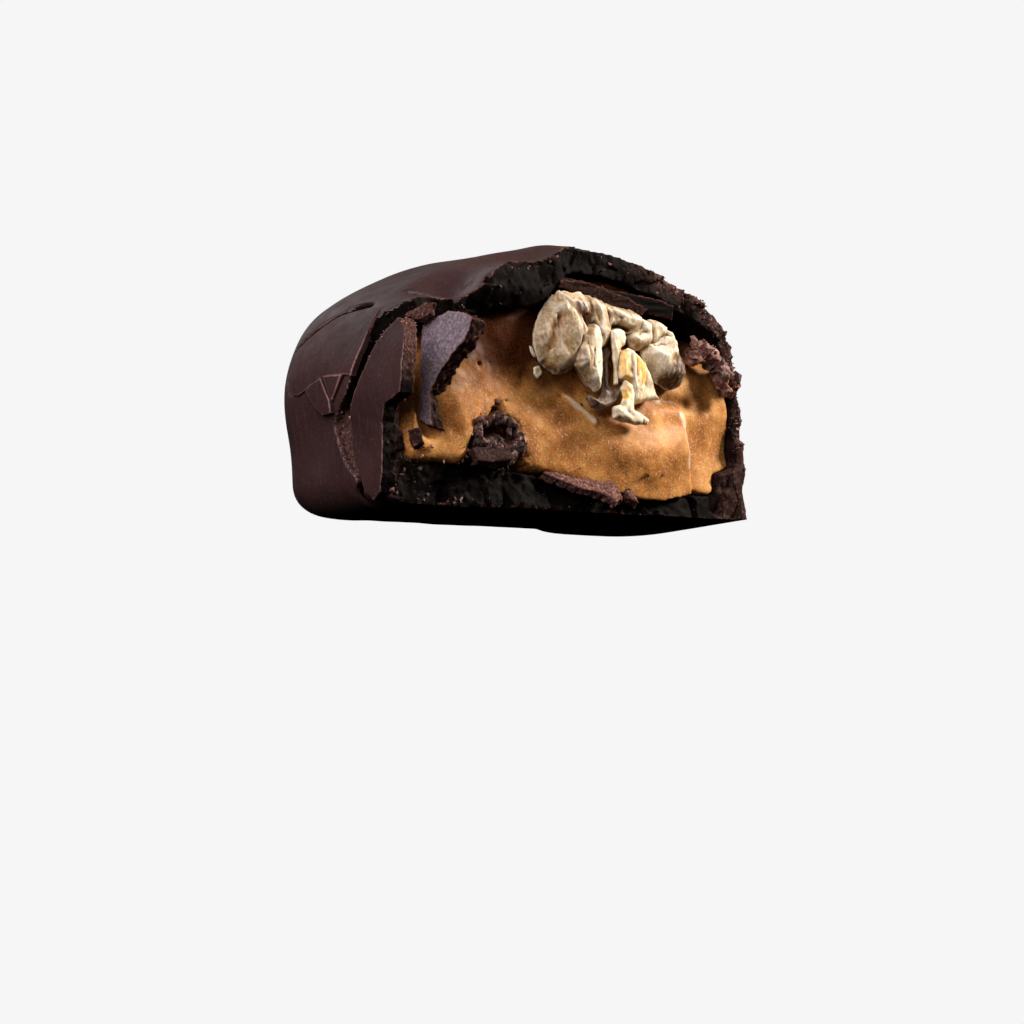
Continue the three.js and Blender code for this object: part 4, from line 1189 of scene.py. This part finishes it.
def scatter(name, host, chance, count, small, large, seed, tones=(0.0, 1.0), sink=0.2, thin=0.3):
    """Crumbs on a piece's surface, likelier where chance is high; most are near the small size.

    Tones is the range of their colours from dark to pale, and sink the share of a crumb's size by
    which it lies deeper than half."""
    rng = np.random.default_rng(seed)
    spots, normals = hosts[host]
    chance = chance(*spots.T) * np.ones(len(spots))
    picked = rng.choice(len(spots), count, replace=False, p=chance / chance.sum())
    corners, faces, tone, total = [], [], [], 0
    for at, out in zip(spots[picked], normals[picked]):
        size = small + (large - small) * rng.uniform() ** 3
        shape, sides = crumb(rng, size, thin)
        middle = at + out * size * (0.5 - sink) + rng.normal(size=3) * 0.06
        corners.append(shape + middle)
        faces.append(sides + total)
        tone.append(np.full(len(shape), rng.uniform(*tones)))
        total += len(shape)
    corners = np.vstack(corners)
    corners[:, 2] = np.maximum(corners[:, 2], 0.0)
    make_piece(name, corners, np.vstack(faces), [crumbly], [],
               {"tone": np.concatenate(tone)}, smooth=False)


# The lumps of the cluster at the right: middle, half sizes and turn in degrees.
CLUSTER = [((14.4, -7.0, 13.5), (1.1, 0.8, 0.6), 35), ((15.2, -7.1, 14.1), (1.0, 0.7, 0.6), -15),
           ((16.3, -7.2, 13.4), (1.1, 0.8, 0.75), -40), ((17.2, -7.2, 12.6), (1.0, 0.7, 0.6), -20),
           ((18.1, -7.0, 12.1), (1.0, 0.7, 0.45), -35), ((18.8, -6.9, 11.5), (0.7, 0.6, 0.35), -20),
           ((17.0, -7.3, 11.7), (0.8, 0.7, 0.8), 10), ((17.5, -7.3, 10.8), (0.45, 0.6, 0.6), 15)]
# The pile in the notch: a ring of lumps, by its middle and half width and height, over a base.
PILE_MIDDLE, PILE_HALF = (-9.0, -6.9, 5.9), (2.3, 1.25)
PILE_BASE = ((-8.6, -6.0, 4.6), (2.8, 1.2, 1.4), 0)
PILE_LUMPS = 13


def heap_piece(name, node, blobs, seed, ragged, dark):
    """A fused heap of broken chocolate; dark is its tone, and ragged the height of its facets."""
    step = 0.1

    def form(x, y, z):
        body = None
        for at, half, turn in blobs:
            part = blob(x, y, z, at, half, turn)
            body = part if body is None else smooth_min(body, part, 0.15)
        return body

    def rough(x, y, z):
        return ragged * (chips(x, y, z, 1.2, seed) + 0.4 * chips(x, y, z, 0.6, seed + 3))

    low = np.min([np.array(at) - max(half) for at, half, _ in blobs], 0) - 0.4
    high = np.max([np.array(at) + max(half) for at, half, _ in blobs], 0) + 0.4
    corners, faces = on_grid(form, low, high, step, rough, band=0.8)
    ridge, normals = ridges(corners, faces, step)
    hosts[node] = corners, normals
    # Painted highlight: paler on the proud lumps and rims.
    tone = clamp(dark + 0.35 * noise(*corners.T, 0.8, seed) + 1.0 * clamp(ridge, 0, 0.5))
    make_piece(name, corners, faces, [crumbly], [node], {"tone": tone})


def pile_blobs():
    """A ring of lumps round a hollow, over a base lump."""
    ring = [PILE_BASE]
    for n in range(PILE_LUMPS):
        a = n / PILE_LUMPS * 2 * np.pi
        at = (PILE_MIDDLE[0] + PILE_HALF[0] * np.cos(a), PILE_MIDDLE[1],
              PILE_MIDDLE[2] + PILE_HALF[1] * np.sin(a))
        size = 0.75 + 0.25 * np.sin(5 * a + 1)
        ring.append((at, (0.75 * size, 0.9, 0.42 * size), 67 * n))
    return ring


# ---- building --------------------------------------------------------------------------------

shell_piece()
for plate_name, (plate_outline, proud, slope) in WALL_PLATES.items():
    wall_plate_piece(plate_name, plate_outline, proud, slope)
caramel_piece()
strip_piece()
for plate_name, spec in PLATES.items():
    plate_piece(plate_name, **spec)
for nut_name, spec in NUTS.items():
    pillow_piece(nut_name + "_kernel", slot="nut", nodes=[nut_name], material=kernel, **spec)
pillow_piece("nut_flakes", FLAKES_OF_NUT, "nut", [], kernel, facet=0.05)
pillow_piece("nut_skin_curl", [NUT_SKIN], "nut_skin", ["nut_skin"], papery, facet=0.10)
heap_piece("crumbs_at_right", "crumb_cluster", CLUSTER, seed=81, ragged=0.30, dark=0.6)
heap_piece("crumbs_in_notch", "crumb_pile", pile_blobs(), seed=91, ragged=0.34, dark=0.15)


def rim_chance(x, y, z):
    """Crumbs lie along the shell's broken rim, most on the ridge and down the right side."""
    rim = bump(outer_form(x, y, z), -0.45, 0.4) * bump(y - break_at(x, z), 0.0, 0.35)
    on_ridge = bump(x, -5.0, 3.5) * smoothstep(z, 18.5, 20.5)
    on_right = smoothstep(x, 9.0, 12.5) * smoothstep(z, 4.5, 8.0)
    return rim * (0.02 + 0.15 * on_ridge + on_right)


def inner_chance(x, y, z):
    """Crumbs on the broken face of roof, floor and foot."""
    face = bump(y - break_at(x, z), 0.0, 0.3) * (outer_form(x, y, z) < -0.15)
    on_floor = (1 - smoothstep(z, 3.5, 5.0)) * (0.12 + bump(x, -17.0, 3.0))
    return face * (0.12 * smoothstep(z, 15.0, 17.0) + on_floor)


def over_notch(x, y, z):
    """Crumbs on the caramel round the notch and below the nuts."""
    around = bump(outline_distance(x, z, NOTCH), 0.1, 0.6)
    below_nuts = 0.25 * bump(x, -1.6, 3.0) * bump(z, 9.8, 1.2)
    low = 0.3 * bump(z, 2.8, 0.6) * bump(x, 0.0, 9.0)
    return (around + below_nuts + low) * (y < FRONT + 2)


def pale_chance(x, y, z):
    """Pale crumbs at the foot of the left lobe."""
    return bump(x, -17.2, 1.9) * bump(z, 3.6, 0.8) * (y < FRONT + 3) + 1e-9


def strip_chance(x, y, z):
    """Crumbs on the broken rim of the strip, near its top."""
    top = bump(z, 12.5, 2.5) * bump(outline_distance(y, z, STRIP), 0.0, 0.25)
    return top * (y > -8.5) + 1e-4


def anywhere(x, y, z):
    return 1.0


SCATTERED = {
    "rim_crumbs": dict(host="shell", chance=rim_chance, count=520, small=0.07, large=0.32, seed=101,
                       tones=(0.15, 0.9), sink=0.75),
    "face_crumbs": dict(host="shell", chance=inner_chance, count=100, small=0.06, large=0.34, seed=102,
                        tones=(0.0, 0.8)),
    "notch_crumbs": dict(host="caramel", chance=over_notch, count=320, small=0.05, large=0.36, seed=103,
                         tones=(0.4, 1.0)),
    "pile_chips": dict(host="crumb_pile", chance=anywhere, count=12, small=0.30, large=0.80, seed=104,
                       tones=(0.0, 0.4)),
    "pile_crumbs": dict(host="crumb_pile", chance=anywhere, count=110, small=0.06, large=0.30, seed=107,
                        tones=(0.3, 0.9)),
    "cluster_lumps": dict(host="crumb_cluster", chance=anywhere, count=40, small=0.35, large=0.75,
                          seed=108, tones=(0.3, 0.7), sink=0.5, thin=0.75),
    "cluster_crumbs": dict(host="crumb_cluster", chance=anywhere, count=110, small=0.06, large=0.28,
                           seed=105, tones=(0.3, 1.0)),
    "pale_crumbs": dict(host="caramel", chance=pale_chance, count=70, small=0.08, large=0.42, seed=109,
                        tones=(0.8, 1.0)),
    "strip_crumbs": dict(host="strip", chance=strip_chance, count=120, small=0.06, large=0.22, seed=106,
                         tones=(0.5, 1.0)),
}
for crumbs_name, spec in SCATTERED.items():
    scatter(crumbs_name, **spec)

# ---- floor, light and camera -----------------------------------------------------------------

# The photograph's camera: compass and height angle, roll, distance and place of its middle.
CAMERA_COMPASS, CAMERA_HEIGHT, CAMERA_ROLL = -43.38, -6.341, -3.167
CAMERA_AWAY = 500.0
CAMERA_SIDE, CAMERA_UP = 0.19, 10.249
FOCAL_PIXELS = 6024.0
IMAGE = 1024
SENSOR = 36.0


def view_axes():
    """Right, up and towards the camera, in the photograph's view."""
    a, e, r = np.radians([CAMERA_COMPASS, CAMERA_HEIGHT, CAMERA_ROLL])
    back = np.array([np.sin(a) * np.cos(e), -np.cos(a) * np.cos(e), np.sin(e)])
    level = np.cross(-back, [0, 0, 1])
    level /= np.linalg.norm(level)
    upright = np.cross(level, -back)
    right = np.cos(r) * level + np.sin(r) * upright
    return right, np.cos(r) * upright - np.sin(r) * level, back


RIGHT, UP, TOWARDS = view_axes()
MIDDLE = np.array([0.0, 0.0, HEIGHT / 2 - 0.075])  # of the chocolate, which the lights look at
FLOOR_HALF = 2500.0
FLOOR_DROP = 0.02  # so that the floor and the underside don't meet


def place_camera():
    data = bpy.data.cameras.new("photo_view")
    data.sensor_width = SENSOR
    data.lens = FOCAL_PIXELS * SENSOR / IMAGE
    data.clip_start, data.clip_end = 0.01, 20.0
    camera = bpy.data.objects.new("photo_view", data)
    spot = MIDDLE + TOWARDS * CAMERA_AWAY - RIGHT * CAMERA_SIDE - UP * CAMERA_UP
    turn = Matrix(np.stack([RIGHT, UP, TOWARDS], 1).tolist()).to_4x4()
    camera.matrix_world = Matrix.Translation(Vector(spot * MM)) @ turn
    bpy.context.scene.collection.objects.link(camera)
    bpy.context.scene.camera = camera


def softbox(name, direction, away, size, power, tint):
    """A square area light that looks at the chocolate, from a direction and how far away."""
    data = bpy.data.lights.new(name, "AREA")
    data.size = size * MM
    data.energy = power
    data.color = colour(tint)[:3]
    light = bpy.data.objects.new(name, data)
    spot = MIDDLE + np.array(direction) / np.linalg.norm(direction) * away
    aim = Vector(MIDDLE - spot).to_track_quat("-Z", "Y")
    light.matrix_world = Matrix.Translation(Vector(spot * MM)) @ aim.to_matrix().to_4x4()
    bpy.context.scene.collection.objects.link(light)


def pale_floor():
    """A plain floor that is seen from above only."""
    half = FLOOR_HALF * MM
    mesh = bpy.data.meshes.new("floor")
    mesh.from_pydata([(-half, -half, 0), (half, -half, 0), (half, half, 0), (-half, half, 0)], [],
                     [(0, 1, 2, 3)])
    floor = bpy.data.objects.new("floor", mesh)
    floor.location.z = -FLOOR_DROP * MM
    bpy.context.scene.collection.objects.link(floor)
    material, tree = new_material("pale_floor")
    # Seen pale, but giving back as little light as the dark table under the real one.
    seen = add(tree, "ShaderNodeLightPath").outputs["Is Camera Ray"]
    shade = blend(tree, seen, colour("#2C2A29"), colour("#E8E8E6"))
    paint = add(tree, "ShaderNodeBsdfDiffuse", {"Color": shade})
    gone = add(tree, "ShaderNodeBsdfTransparent")
    below = add(tree, "ShaderNodeNewGeometry").outputs["Backfacing"]
    either = add(tree, "ShaderNodeMixShader", {0: below, 1: paint.outputs[0], 2: gone.outputs[0]})
    add(tree, "ShaderNodeOutputMaterial", {"Surface": either.outputs[0]})
    mesh.materials.append(material)


def studio():
    """A near-white backdrop that lights little, so that the softboxes shape the chocolate."""
    world = bpy.data.worlds.new("studio")
    bpy.context.scene.world = world
    world.use_nodes = True
    tree = world.node_tree
    tree.nodes.clear()
    seen = add(tree, "ShaderNodeBackground", {"Color": colour("#F6F6F6"), "Strength": 1.0})
    lit = add(tree, "ShaderNodeBackground", {"Color": colour("#F4F2F2"), "Strength": 0.06})
    camera_ray = add(tree, "ShaderNodeLightPath").outputs["Is Camera Ray"]
    either = add(tree, "ShaderNodeMixShader", {0: camera_ray, 1: lit.outputs[0], 2: seen.outputs[0]})
    add(tree, "ShaderNodeOutputWorld", {"Surface": either.outputs[0]})


place_camera()
pale_floor()
studio()
softbox("key_right", (0.80, -0.47, 0.46), away=300, size=70, power=2.0, tint="#FFF4E6")
softbox("fill_left", (-0.80, -0.34, 0.48), away=320, size=240, power=1.35, tint="#F8F4FA")
softbox("back", (0.05, 0.75, 0.60), away=320, size=240, power=0.16, tint="#FFFFFF")
bpy.context.scene.view_settings.view_transform = "Standard"
